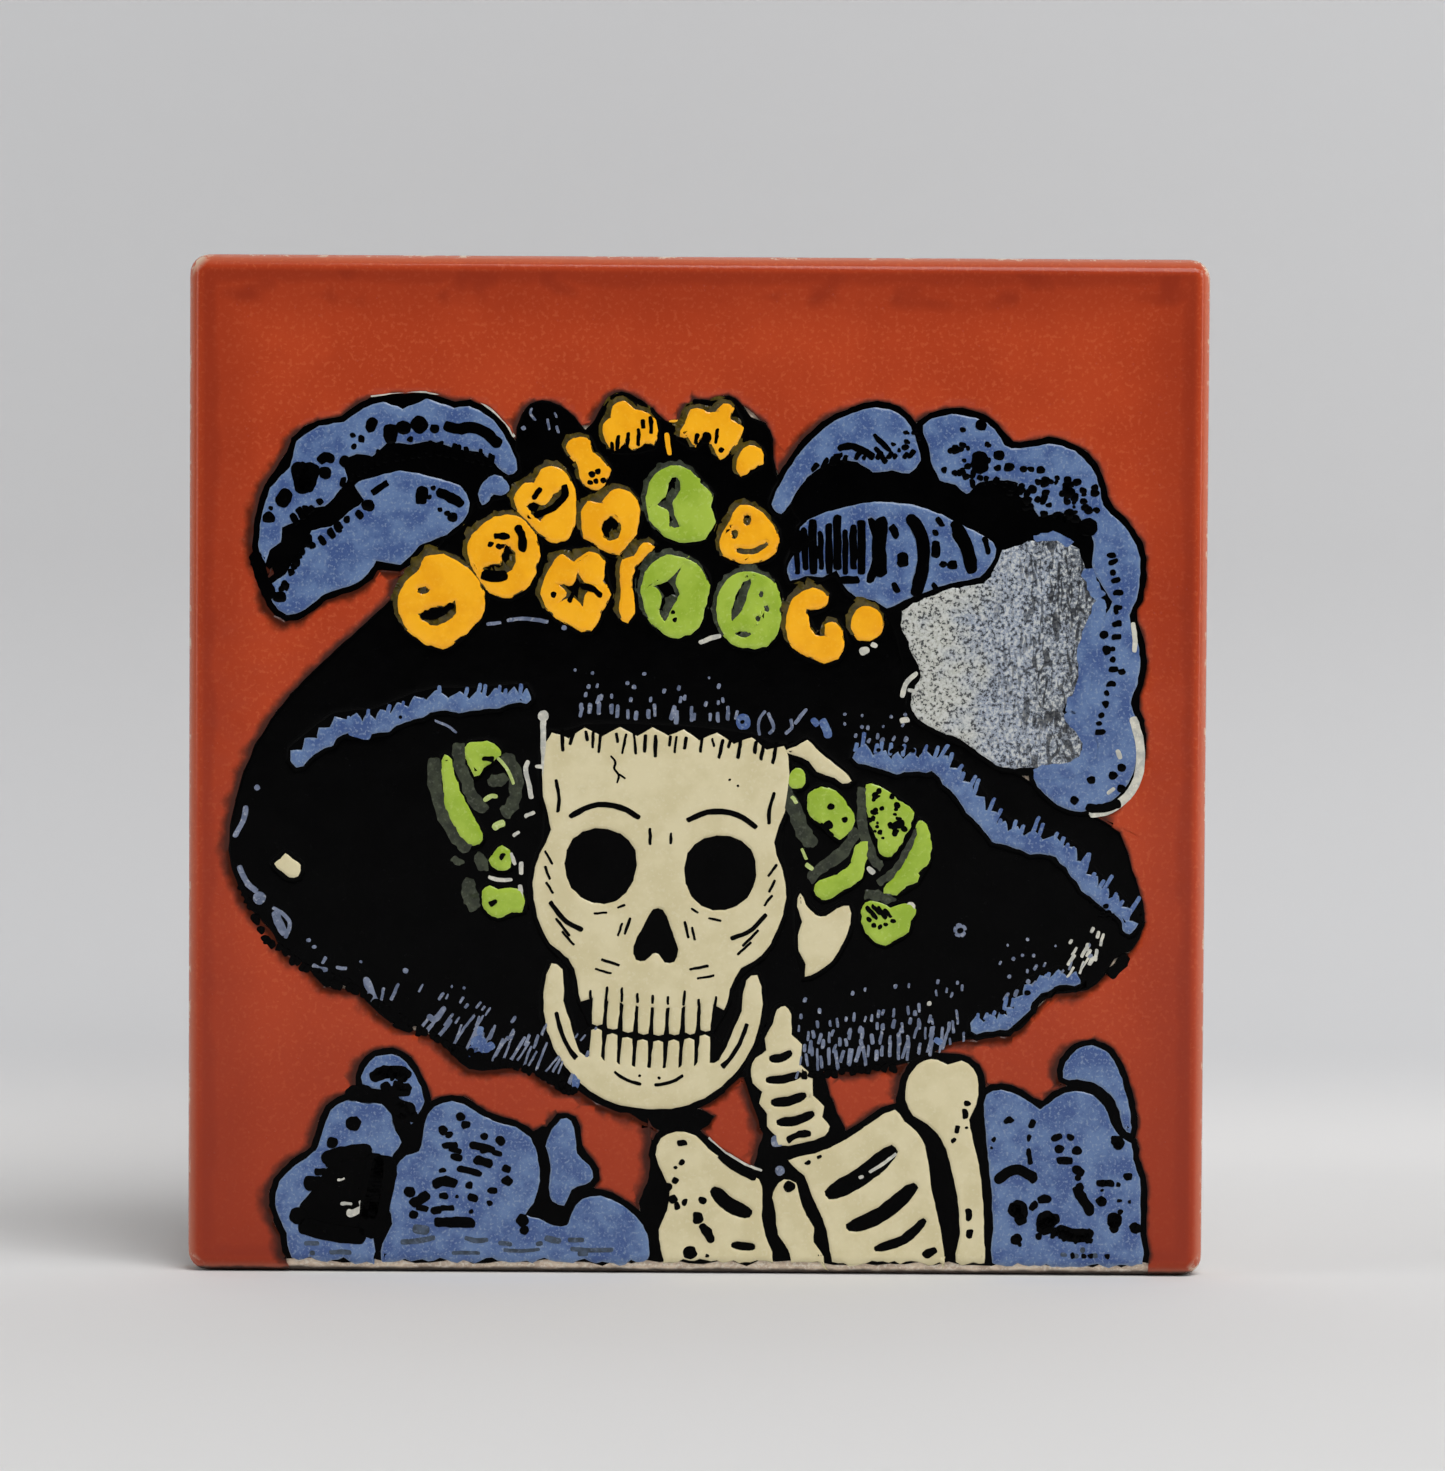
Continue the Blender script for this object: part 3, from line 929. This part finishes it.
for name, strokes in {
    "ink_left_plume": leftPlumeInk, "ink_right_plume": rightPlumeInk, "ink_barbs": barbInk,
    "ink_flowers": flowerInk, "ink_bows": bowInk, "ink_left_sleeve": leftSleeveInk,
    "ink_right_sleeve": rightSleeveInk, "ink_chest": chestInk,
}.items():
    swollen = [(inkLook["swell"] * width, *places) for width, *places in strokes]
    brushMarks(name, "black_glaze", tile["poolY"], swollen, rough=inkLook["rough"])
print("ink on the colours made")

# the skull's own woodcut lines, from the middle of the head: across, up
skullLook = {"x": -4.0, "z": 37.2, "tilt": math.radians(-3), "topHatch": 21, "topSpan": 22, "topAt": 18.6,
             "teeth": 9, "toothPitch": 1.6, "teethAt": -9.2}
skullHalf = [
    (0.6, 2.4, 9.9, 4.6, 11.1, 7.4, 11.1, 9.7, 9.6), (0.4, 11.3, 13.4, 10.8, 11.6, 10.9, 10),
    (0.5, 11.2, 0.8, 9.6, -1.2, 7.6, -2), (0.3, 10.5, -0.9, 8.9, -2.7), (0.28, 9.8, -2.2, 8.4, -3.6),
    (0.3, 2.8, -0.4, 3.3, -2.2), (0.28, 3.6, -1, 4, -2.4), (0.45, 9.9, -10.6, 9.1, -13.2, 7.6, -15.4),
    (0.3, 8.6, -14, 7.4, -15.2), (0.35, 0.7, -17.6, 2.4, -17.2, 3.6, -16.4), (0.3, 3.6, -5.4, 5.6, -4.9),
    (0.25, 4.4, -6.3, 6.2, -5.9), (0.3, 11.9, 4.4, 11.3, 3), (0.28, 12, 6, 11.1, 4.6),
    (0.28, 11.7, 2.8, 10.9, 1.6), (0.25, 5.2, 0, 6.6, -0.2), (0.25, 3.4, 0.9, 4.2, 0.5),
]
skullMiddle = [
    (0.24, -5.8, 16.2, -5.1, 15.5, -5.5, 14.8, -4.7, 14.2, -5, 13.4), (0.22, -4.8, 14.3, -4.1, 13.9),
    (0.3, -0.9, -16.7), (0.3, 1.1, -16.8), (0.35, -1.3, 9, -1.2, 7.2), (0.3, 0.9, 8.6, 0.9, 7.4),
    (0.3, 6.6, 14.4), (0.24, 7.5, 13.8),
]


def skullMarks():
    pick = random.Random(5)
    strokes = [*skullMiddle, *skullHalf]
    for width, *places in skullHalf:
        strokes.append((width, *[-value if i % 2 == 0 else value for i, value in enumerate(places)]))
    count, span, top = skullLook["topHatch"], skullLook["topSpan"], skullLook["topAt"]
    for i in range(count):
        across = -span / 2 + span * (i + pick.uniform(-0.3, 0.3)) / (count - 1)
        width, lean, fall = pick.uniform(0.28, 0.42), pick.uniform(-0.3, 0.3), pick.uniform(0.9, 2.4)
        strokes.append((width, across, top, across + lean, top - fall))
    for i in range(skullLook["teeth"]):
        across = (i - skullLook["teeth"] // 2) * skullLook["toothPitch"]
        lean, up = pick.uniform(-0.1, 0.1), 0.8 + pick.uniform(0, 0.8)
        strokes.append((0.3, across, skullLook["teethAt"], across + lean, skullLook["teethAt"] + up))
    turned = []
    c, s = math.cos(skullLook["tilt"]), math.sin(skullLook["tilt"])
    for width, *places in strokes:
        moved = []
        for u, v in zip(places[::2], places[1::2]):
            moved += [skullLook["x"] + u * c - v * s, skullLook["z"] + u * s + v * c]
        turned.append((width, *moved))
    return turned


brushMarks("ink_skull", "black_glaze", tile["poolY"], skullMarks())

footSmoke = [
    (0.5, -40.4, 3, -38.8, 3), (0.5, -39.8, 2, -39.2, 2), (0.5, -37.8, 2.1, -35.5, 2.1),
    (1.0, -29.2, 4.6, -27.4, 4.4), (0.6, -30.4, 3.2, -28.4, 3.3, -26.8, 3.7),
    (0.5, -23.8, 3.7, -22.6, 3.3, -21.3, 3.5), (0.5, -20.3, 3.2, -18.9, 3),
    (0.4, -19.8, 2.4, -18, 2.3, -16, 2.5), (0.5, -16.4, 3, -15.7, 3.2), (0.4, -25.1, 2.1, -22.2, 2.1),
    (0.7, -15.5, 3.7, -13.8, 3.3), (0.5, -13.1, 3.5, -11.4, 3.5), (0.5, -12.9, 2.6, -11.2, 2.4, -8.4, 2.5),
    (0.6, -12.1, 2.1, -11, 2.1), (0.6, 40, 2.9, 40.2, 2.6), (0.4, 37.8, 2.3, 38.5, 2.2),
    (0.5, 39, 2.2, 39.7, 2.1), (0.5, 41.1, 2.2, 41.7, 2.2),
]
brushMarks("smoke_foot", "smoke", tile["poolY"], footSmoke, rise=0.02 * mm)

# what shows of the ground and of thin blue between the lines of the hat
brimHatch = [
    *hatchRows(21, (-28.6, 25.8), (-9.4, 20.3), 4, 0.72, 62, 2.9, 0.27, rise=1.7, thin=0.58),
    *hatchRows(22, (10.6, 21.9), (28, 24.4), 6, 0.66, 86, 2.2, 0.34, rise=1.3, thin=0.76),
    *hatchRows(23, (-13, 58.4), (4.6, 57.8), 4, 0.95, 84, 1.5, 0.4, rise=1.3, thin=0.6),
    *hatchRows(24, (31, 28.8), (41, 33), 4, 1.2, 64, 0.9, 0.35, rise=1.6, thin=0.7),
    *hatchRows(25, (15, 55.6), (24, 55.4), 3, 1.3, 70, 0.8, 0.35, rise=1.2),
    (0.55, -46.5, 48.3, -46.6, 47, -47.4, 45.6, -47.7, 45), (0.6, -45.6, 50, -45.1, 50.3),
    (0.6, -47.2, 42.1, -46.4, 40.2, -45.3, 39.4), (1.3, -45.2, 38.6, -45, 38.9),
    (0.9, -43.5, 37.4, -43.1, 36.2, -42.4, 34.9), (0.4, -43.7, 37.8, -42.3, 36.9, -41.8, 36, -42.4, 34.6),
    (0.5, -39.6, 31.9, -38.8, 31.4, -38, 31.4), (0.35, -38.6, 32, -38.2, 32.7),
    (0.4, -37.2, 31.6, -36, 31.5), (0.8, -34.1, 30.6, -33.7, 29.4, -33, 27.8),
    (0.3, -32.2, 29.6, -32.5, 28.2), (0.35, -30.7, 30, -31.5, 28.2), (0.6, -30.2, 31.3, -29.8, 31.3),
    (0.3, -34.6, 32.2), (0.4, -40, 34.4), (0.4, -39.4, 33.7), (0.6, -27.7, 26.7, -26.9, 26.1, -25.9, 27.6),
    (0.35, -21.8, 67.1, -20.3, 67.3), (0.4, -19.7, 67.5, -18, 67.8, -15.4, 67.4), (0.5, -13.8, 66.8),
    (0.25, -17.2, 89.4, -17.4, 88.8, -16.8, 88.1), (0.3, -15.6, 88.3, -15.4, 87.1),
    (0.25, -14.9, 88.9, -14.6, 88.4), (0.3, -14.7, 87.6, -14.4, 86.8), (0.45, -18.2, 87.5, -17.9, 87.1),
    (0.25, -27.1, 57.2, -25.8, 56.7, -24.8, 55.9), (0.3, 6.4, 55.8, 6.2, 57.4, 7, 58.4),
    (0.35, 7.2, 58.2, 8, 56.6, 7.3, 56), (0.35, 9, 56, 9.8, 56.6, 9.6, 57.6), (0.4, 10, 57, 11.2, 58.6),
    (1.3, 8.4, 14.3, 8.5, 13.5), (1.0, 8.3, 10.6, 9.2, 11),
]
brushMarks("hatch_brim", "greyHatch", tile["hatY"], brimHatch)
whiteMarks = [
    (0.28, -33.8, 90.5, -30.5, 91.1, -27.2, 91, -23.6, 90.7, -21.4, 89.3, -19.8, 87.8, -19, 86.4),
    (0.5, -28, 91, -25, 90.9), (1.1, -16, 57.9, -15.8, 57.5), (0.5, -15.9, 57.4, -15.9, 55, -15.7, 51.5),
    (0.4, -16.7, 52.5, -15, 52.4), (0.5, -17.4, 53.1, -17.8, 52.1, -17.3, 50.6, -17.1, 49.1),
    (0.4, -17.8, 47.3, -16.7, 47.8), (0.35, -19, 45.3, -18.3, 45.8), (0.4, -19.2, 43.6, -18.7, 42.3),
    (0.4, -18.1, 42.7, -18.1, 41.3), (0.4, -21.5, 41.1, -20.4, 40.7, -19, 40.8),
    (0.5, -18.2, 40.3, -18.1, 38.6, -18.3, 37.5), (0.5, 0.1, 65.3, 1.2, 65.8, 2.4, 66.1),
    (0.9, 21.8, 38.4, 22.4, 38.1), (0.5, 17.6, 42.3, 18.3, 41.6),
    (0.25, 1.4, 14.2, 3.4, 12.5, 5, 11.5, 6.9, 10.8), (0.35, 18, 10.7, 19.6, 11.7, 20.8, 12.7),
    (0.35, 16.9, 10.1, 17.4, 10.3), (0.5, 24, 28, 24.1, 28.4), (0.8, 16.6, 64.4, 17.6, 64.8),
    (0.5, 17.8, 65.4, 18.4, 65), (0.5, 21, 59.8, 21.4, 61.4, 22.6, 62.4), (0.4, 21.6, 60.6, 22.8, 60.4),
    (0.6, 20.8, 57.4, 21.8, 57.6),
    *hatchRows(31, (38.6, 31.6), (42.4, 34), 4, 0.75, 68, 1.5, 0.35, rise=0.9, thin=0.86),
]
crestEdge = [
    (0.9, 44.8, 58, 45.7, 55, 45.6, 52, 44.6, 49.9, 42.6, 48.3, 40.4, 47.9),
    (0.5, 44.7, 67.7, 45, 66, 44.9, 64.6), (0.5, 43.2, 54.6, 43.6, 53.6), (0.4, 42.2, 50, 43, 50.6),
]
raggedBrim = [
    (1.2, 42.6, 31.1, 43.4, 32, 44.5, 33.3), (0.9, -38.4, 30.2, -36.4, 29.6),
    (0.9, -31.2, 25.9, -29.2, 25.2), (1.4, -45.7, 74.4, -45.3, 73, -44.7, 71.2, -43.8, 69.6),
    (0.8, -24.7, 23, -23.5, 22), (0.8, -14.6, 19.6, -13.2, 18.8),
    *combTeeth(61, [(-46.9, 40.6), (-44.4, 35), (-40.2, 31.9), (-36, 30.4), (-31, 27.1)],
               0.8, 0.5, 1.1, -118, 0.85),
    *combTeeth(62, [(-31, 27.1), (-25, 23.8), (-21, 22.6), (-16.5, 21.4), (-12.5, 19.4)],
               0.8, 0.5, 1.2, -104, 0.85),
    *combTeeth(63, [(10.8, 20.9), (16, 21.6), (21, 22)], 0.8, 0.4, 1.0, -90, 0.8),
]
brushMarks("ragged_brim", "black_glaze", tile["redY"], raggedBrim, rise=0.01 * mm,
           rough=0.2 * mm)
petals = [(0.5, -3.4, 86.9, -3.2, 85.8, -3, 84.6), (0.9, -2.7, 88.4)]
brushMarks("orange_slivers", "orange_glaze", tile["hatY"], petals)
paleSleeve = [
    (0.7, -36, 6.1, -34.9, 6.3, -34.2, 6.9, -34.6, 7.5), (0.35, -36.6, 7.1, -35.4, 7.2),
    (0.3, -37, 9.6, -36.2, 9.7),
]
brushMarks("pale_sleeve", "whiteSliver", tile["poolY"] - 0.015 * mm, paleSleeve,
           rise=0.015 * mm, rough=0.16 * mm)
crestSeam = [
    (1.3, 39.8, 73.2, 40.6, 71.6, 41.4, 70),
    (1.5, 41.5, 70, 41, 68, 40.1, 66.2, 39.7, 64.4, 40, 62.2, 39.4, 60.2, 38.1, 58.4),
    (1.5, 38.1, 58.4, 39.7, 56.6, 40.7, 54.8, 39.8, 53, 37.4, 52.2, 34.6, 52.1),
    (0.9, 38.4, 75.6, 36.8, 76.6, 34.4, 76.3),
]
brushMarks("blue_crest_seam", "blue_glaze", tile["poolY"] + 0.01 * mm, crestSeam,
           rough=0.3 * mm)
brushMarks("pale_crest_edge", "whiteSliver", tile["poolY"] + 0.01 * mm, crestEdge)
brushMarks("slivers_of_ground", "whiteSliver", tile["hatY"], whiteMarks)
greenMarks = [
    (0.5, -22, 48.9, -21.2, 49.5, -20.6, 49.3), (0.8, -21, 46, -20.4, 46.5, -19.8, 46.7),
    (0.35, -20.6, 53.4, -19.5, 52.2, -18.9, 50.6), (0.4, 9.7, 49.6, 10.3, 48.8),
    (0.35, 10.8, 44.2, 11.3, 43), (0.5, 11.2, 42.6, 12, 42),
]
brushMarks("slivers_of_green", "paleGreen", tile["hatY"], greenMarks)
blueMarks = [
    (1.7, -22.5, 24.6, -22.3, 23), (1.2, -23.5, 22.6, -22.4, 23.4), (0.9, -22.5, 22.8, -20.8, 23.8),
    (0.7, -22.2, 25.6, -22.3, 24.6), (0.8, -12.5, 19.2, -12, 21.8), (1.5, 4.6, 58, 4.8, 56.4),
    (0.7, 11.8, 57.6, 12.4, 56.8), (0.9, 12.8, 57.6, 13.6, 55.6), (1.2, -36, 56.2, -33.6, 55.6),
    (0.7, 24.6, 24.6, 25.4, 24.1),
    *combTeeth(41, [(-38, 55.8), (-33.5, 56.8), (-27, 59), (-17.4, 59.9)], 1.15, 0.7, 1.9, 82, 0.4),
    *combTeeth(42, [(15.6, 54.2), (24.6, 53.4)], 1.0, 1.0, 2.6, 80, 0.42),
    *combTeeth(43, [(24.6, 53.4), (30.8, 46.4), (37.4, 44.4), (41.6, 40), (44.6, 37)],
               1.05, 1.0, 2.6, 66, 0.42),
    *combTeeth(44, [(28.6, 26), (33.6, 28.4), (36.8, 31)], 1.0, 0.6, 1.5, 75, 0.4),
]
brushMarks("combed_blue", "blue_glaze", tile["hatY"] - 0.02 * mm, blueMarks)

# a small grey ring on the brim, in a few short strokes
spotLook = {"x": 27.2, "z": 35.8, "acrossX": 0.55, "acrossZ": 0.6, "width": 0.5, "strokes": 5, "turn": 1.2}


def spotPlace(turn):
    return (spotLook["x"] + spotLook["acrossX"] * math.cos(turn),
            spotLook["z"] + spotLook["acrossZ"] * math.sin(turn))


spotRing = []
for step in range(spotLook["strokes"]):
    turn = step * spotLook["turn"]
    spotRing.append((spotLook["width"], *spotPlace(turn), *spotPlace(turn + spotLook["turn"])))
brushMarks("grey_spot", "greyHatch", tile["hatY"], spotRing)
brimSpots = [
    (0.7, -22.9, 22.6), (0.4, 4.6, 57.2), (0.6, 27.2, 35.8), (0.35, -30.6, 57.5),
    *scatter(6, 8, 42.2, 38.4, 1.6, 1.4, 0.4, 0.6), *scatter(7, 6, 20.6, 54.2, 2.4, 0.5, 0.4, 0.6),
    (0.5, 31.6, 27.4), (0.6, 34.2, 29.4),
]
brushMarks("ink_on_brim", "black_glaze", tile["poolY"], brimSpots)
bowShade = [
    (1.5, -26.9, 53.4, -27.1, 50.6, -26.2, 47.6, -24.6, 44.8, -23.4, 43.9),
    (1.3, -24.6, 55, -24.5, 52.6, -23.6, 50.4, -22.8, 48.6, -21.6, 48),
    (1.4, -20.1, 53.8, -18.9, 52.4, -18.5, 50.4, -19, 48.4, -20.2, 47.4),
    (1.1, -21.6, 51, -20.2, 50.8, -19.6, 51.6), (1.2, -22.6, 43.6, -21.9, 41.6),
    (1.5, -23.4, 40.9, -23.5, 39.1, -22.6, 37.6), (0.8, -25.4, 43, -24, 42.4),
    (1.5, 8.4, 51.4, 9.2, 49.6, 10.4, 47.4, 11, 45.6, 12, 44.4),
    (1.2, 16.6, 46.2, 15, 43.6, 13, 42.4, 11.6, 40.8),
    (1.0, 16.9, 50.6, 17, 48.4, 17, 46, 18.2, 43.2, 19, 42),
    (0.9, 22.9, 46.4, 22.2, 44.6, 21, 42.6, 19.6, 41.2, 18.6, 40.6),
    (1.0, 17.2, 39.5, 18.8, 39.4, 20.4, 38.9),
]
brushMarks("shade_of_bows", "oliveGrey", tile["hatY"], bowShade, rise=0.015 * mm,
           rough=0.3 * mm)
print("strokes on the hat made")

# the clay's back is pressed in here and there
clayLook = {"net": 3.0 * mm, "backFrom": 0.5 * mm, "dentSize": 6.0 * mm, "dent": 0.12 * mm}
clayPiece = copyOf("clay_body")
netOver(clayPiece, clayLook["net"])
for vertex in clayPiece.data.vertices:
    if vertex.co.y > clayLook["backFrom"]:
        dent = noise.noise(vertex.co / clayLook["dentSize"]) * 0.5 + 0.5
        vertex.co.y -= clayLook["dent"] * dent
finishPiece(clayPiece, "clay_body")
print("clay body made")

# floor, lights and camera
stageLook = {
    "size": 3.0, "width": 1.6, "wallY": 0.16, "wallTop": 0.42, "bend": 0.07,
    "color": (0.575, 0.580, 0.590), "floorColor": (0.735, 0.730, 0.725), "floorTop": 0.012,
    "beyond": (0.60, 0.60, 0.61), "ambient": (0.045, 0.0475, 0.05),
}


def paperMaterial(name, oneSided):
    material, tree, shader, place = newMaterial(name)
    tone = noiseFac(tree, place, 4.0, 2.0)
    height = addNode(tree, "SeparateXYZ", Vector=place).outputs[2]
    share = spread(tree, height, 0.0, stageLook["floorTop"])
    share = times(tree, share, mathNode(tree, "ADD", times(tree, tone, 0.1), 0.95))
    color = mixColors(tree, share, opaque(stageLook["floorColor"]), opaque(stageLook["color"]))
    tree.links.new(color, shader.inputs["Base Color"])
    shader.inputs["Roughness"].default_value = 0.9
    if oneSided:  # from behind, the backdrop is clear
        blend = tree.nodes.new("ShaderNodeMixShader")
        tree.links.new(tree.nodes.new("ShaderNodeNewGeometry").outputs["Backfacing"], blend.inputs[0])
        tree.links.new(shader.outputs[0], blend.inputs[1])
        tree.links.new(tree.nodes.new("ShaderNodeBsdfTransparent").outputs[0], blend.inputs[2])
        output = next(node for node in tree.nodes if node.type == "OUTPUT_MATERIAL")
        tree.links.new(blend.outputs[0], output.inputs[0])
    return material


def makeFloor():
    bpy.ops.object.select_all(action="DESELECT")
    bpy.ops.mesh.primitive_circle_add(vertices=64, radius=stageLook["size"], fill_type="NGON",
                                      location=(0, 0, -0.02 * mm))
    floor = bpy.context.active_object
    floor.name = "studio_floor"
    floor.data.materials.append(paperMaterial("paperFloor", False))
    bpy.ops.object.transform_apply(location=True, rotation=True, scale=True)


# leaves the mesh in edit mode with the edges selected whose two ends are both wanted
def selectEdges(mesh, wanted):
    bpy.ops.mesh.select_mode(type="EDGE")
    bpy.ops.mesh.select_all(action="DESELECT")
    bpy.ops.object.mode_set(mode="OBJECT")
    for edge in mesh.edges:
        edge.select = all(wanted(mesh.vertices[i].co) for i in edge.vertices)
    bpy.ops.object.mode_set(mode="EDIT")


# a strip on the floor whose far edge is drawn up into a wall, with a soft bend between them
def makeBackdrop():
    bpy.ops.object.select_all(action="DESELECT")
    near, far = stageLook["wallY"] - 2 * stageLook["bend"], stageLook["wallY"]
    bpy.ops.mesh.primitive_plane_add(size=1, location=(0, 0, 0))
    wall = bpy.context.active_object
    wall.name = "studio_backdrop"
    mesh = wall.data
    bpy.ops.object.mode_set(mode="EDIT")
    bpy.ops.mesh.select_all(action="SELECT")
    bpy.ops.transform.resize(value=(stageLook["width"], far - near, 1))
    bpy.ops.transform.translate(value=(0, (near + far) / 2, -0.01 * mm))
    selectEdges(mesh, lambda place: place.y > far - 0.01)
    bpy.ops.mesh.extrude_region_move(TRANSFORM_OT_translate={"value": (0, 0, stageLook["wallTop"])})
    selectEdges(mesh, lambda place: place.y > far - 0.01 and abs(place.z) < 0.001)
    bpy.ops.mesh.bevel(offset=stageLook["bend"], segments=16, affect="EDGES")
    bpy.ops.object.mode_set(mode="OBJECT")
    bpy.ops.object.shade_smooth()
    toFront = sum((face.normal.y - face.normal.z) * face.area for face in mesh.polygons)
    if toFront > 0:
        mesh.flip_normals()
    mesh.materials.append(paperMaterial("paperSweep", True))
    bpy.ops.object.transform_apply(location=True, rotation=True, scale=True)


lightLooks = {
    "keyAbove": {"at": (0.40, -0.75, 1.05), "size": (0.9, 0.7), "power": 14},
    "sideLeft": {"at": (-1.0, -0.35, 0.35), "size": (0.5, 0.8), "power": 3.2},
    "sideRight": {"at": (1.0, -0.30, 0.35), "size": (0.4, 0.8), "power": 3.4},
    "backFill": {"at": (-0.5, 1.0, 0.9), "size": (0.9, 0.9), "power": 5},
}
lightTarget = Vector((0, 0, 0.05))


def makeLight(name, look):
    data = bpy.data.lights.new(name, "AREA")
    data.shape = "RECTANGLE"
    data.size, data.size_y = look["size"]
    data.energy = look["power"]
    light = bpy.data.objects.new(name, data)
    bpy.context.scene.collection.objects.link(light)
    light.location = look["at"]
    light.rotation_euler = (lightTarget - Vector(look["at"])).to_track_quat("-Z", "Y").to_euler()


makeFloor()
makeBackdrop()
for name, look in lightLooks.items():
    makeLight(name, look)
world = bpy.data.worlds.new("studioWorld")
bpy.context.scene.world = world
world.use_nodes = True
sky = world.node_tree
seen = sky.nodes.new("ShaderNodeLightPath").outputs["Is Camera Ray"]
tint = mixColors(sky, seen, opaque(stageLook["ambient"]), opaque(stageLook["beyond"]))
sky.links.new(tint, sky.nodes["Background"].inputs[0])

cameraLook = {
    "target": Vector((2.57, -3.25, 55.8)) * mm, "distance": 0.75, "elevation": 3.0, "azimuth": 0.0,
    "frameWidth": 148.8 * mm, "roll": 0.33, "sensor": 36.0,
}


def makeCamera():
    data = bpy.data.cameras.new("photoCamera")
    camera = bpy.data.objects.new("photoCamera", data)
    bpy.context.scene.collection.objects.link(camera)
    bpy.context.scene.camera = camera
    rise, turn = math.radians(cameraLook["elevation"]), math.radians(cameraLook["azimuth"])
    back = Vector((math.sin(turn) * math.cos(rise), -math.cos(turn) * math.cos(rise), math.sin(rise)))
    camera.location = cameraLook["target"] + back * cameraLook["distance"]
    facing = (-back).to_track_quat("-Z", "Y").to_matrix()
    camera.rotation_euler = (facing @ Matrix.Rotation(math.radians(cameraLook["roll"]), 3, "Z")).to_euler()
    data.sensor_fit = "HORIZONTAL"
    data.sensor_width = cameraLook["sensor"]
    data.lens = cameraLook["sensor"] * cameraLook["distance"] / cameraLook["frameWidth"]
    data.clip_start = 0.01


makeCamera()
bpy.context.scene.view_settings.view_transform = "Standard"
print("stage, lights and camera made")
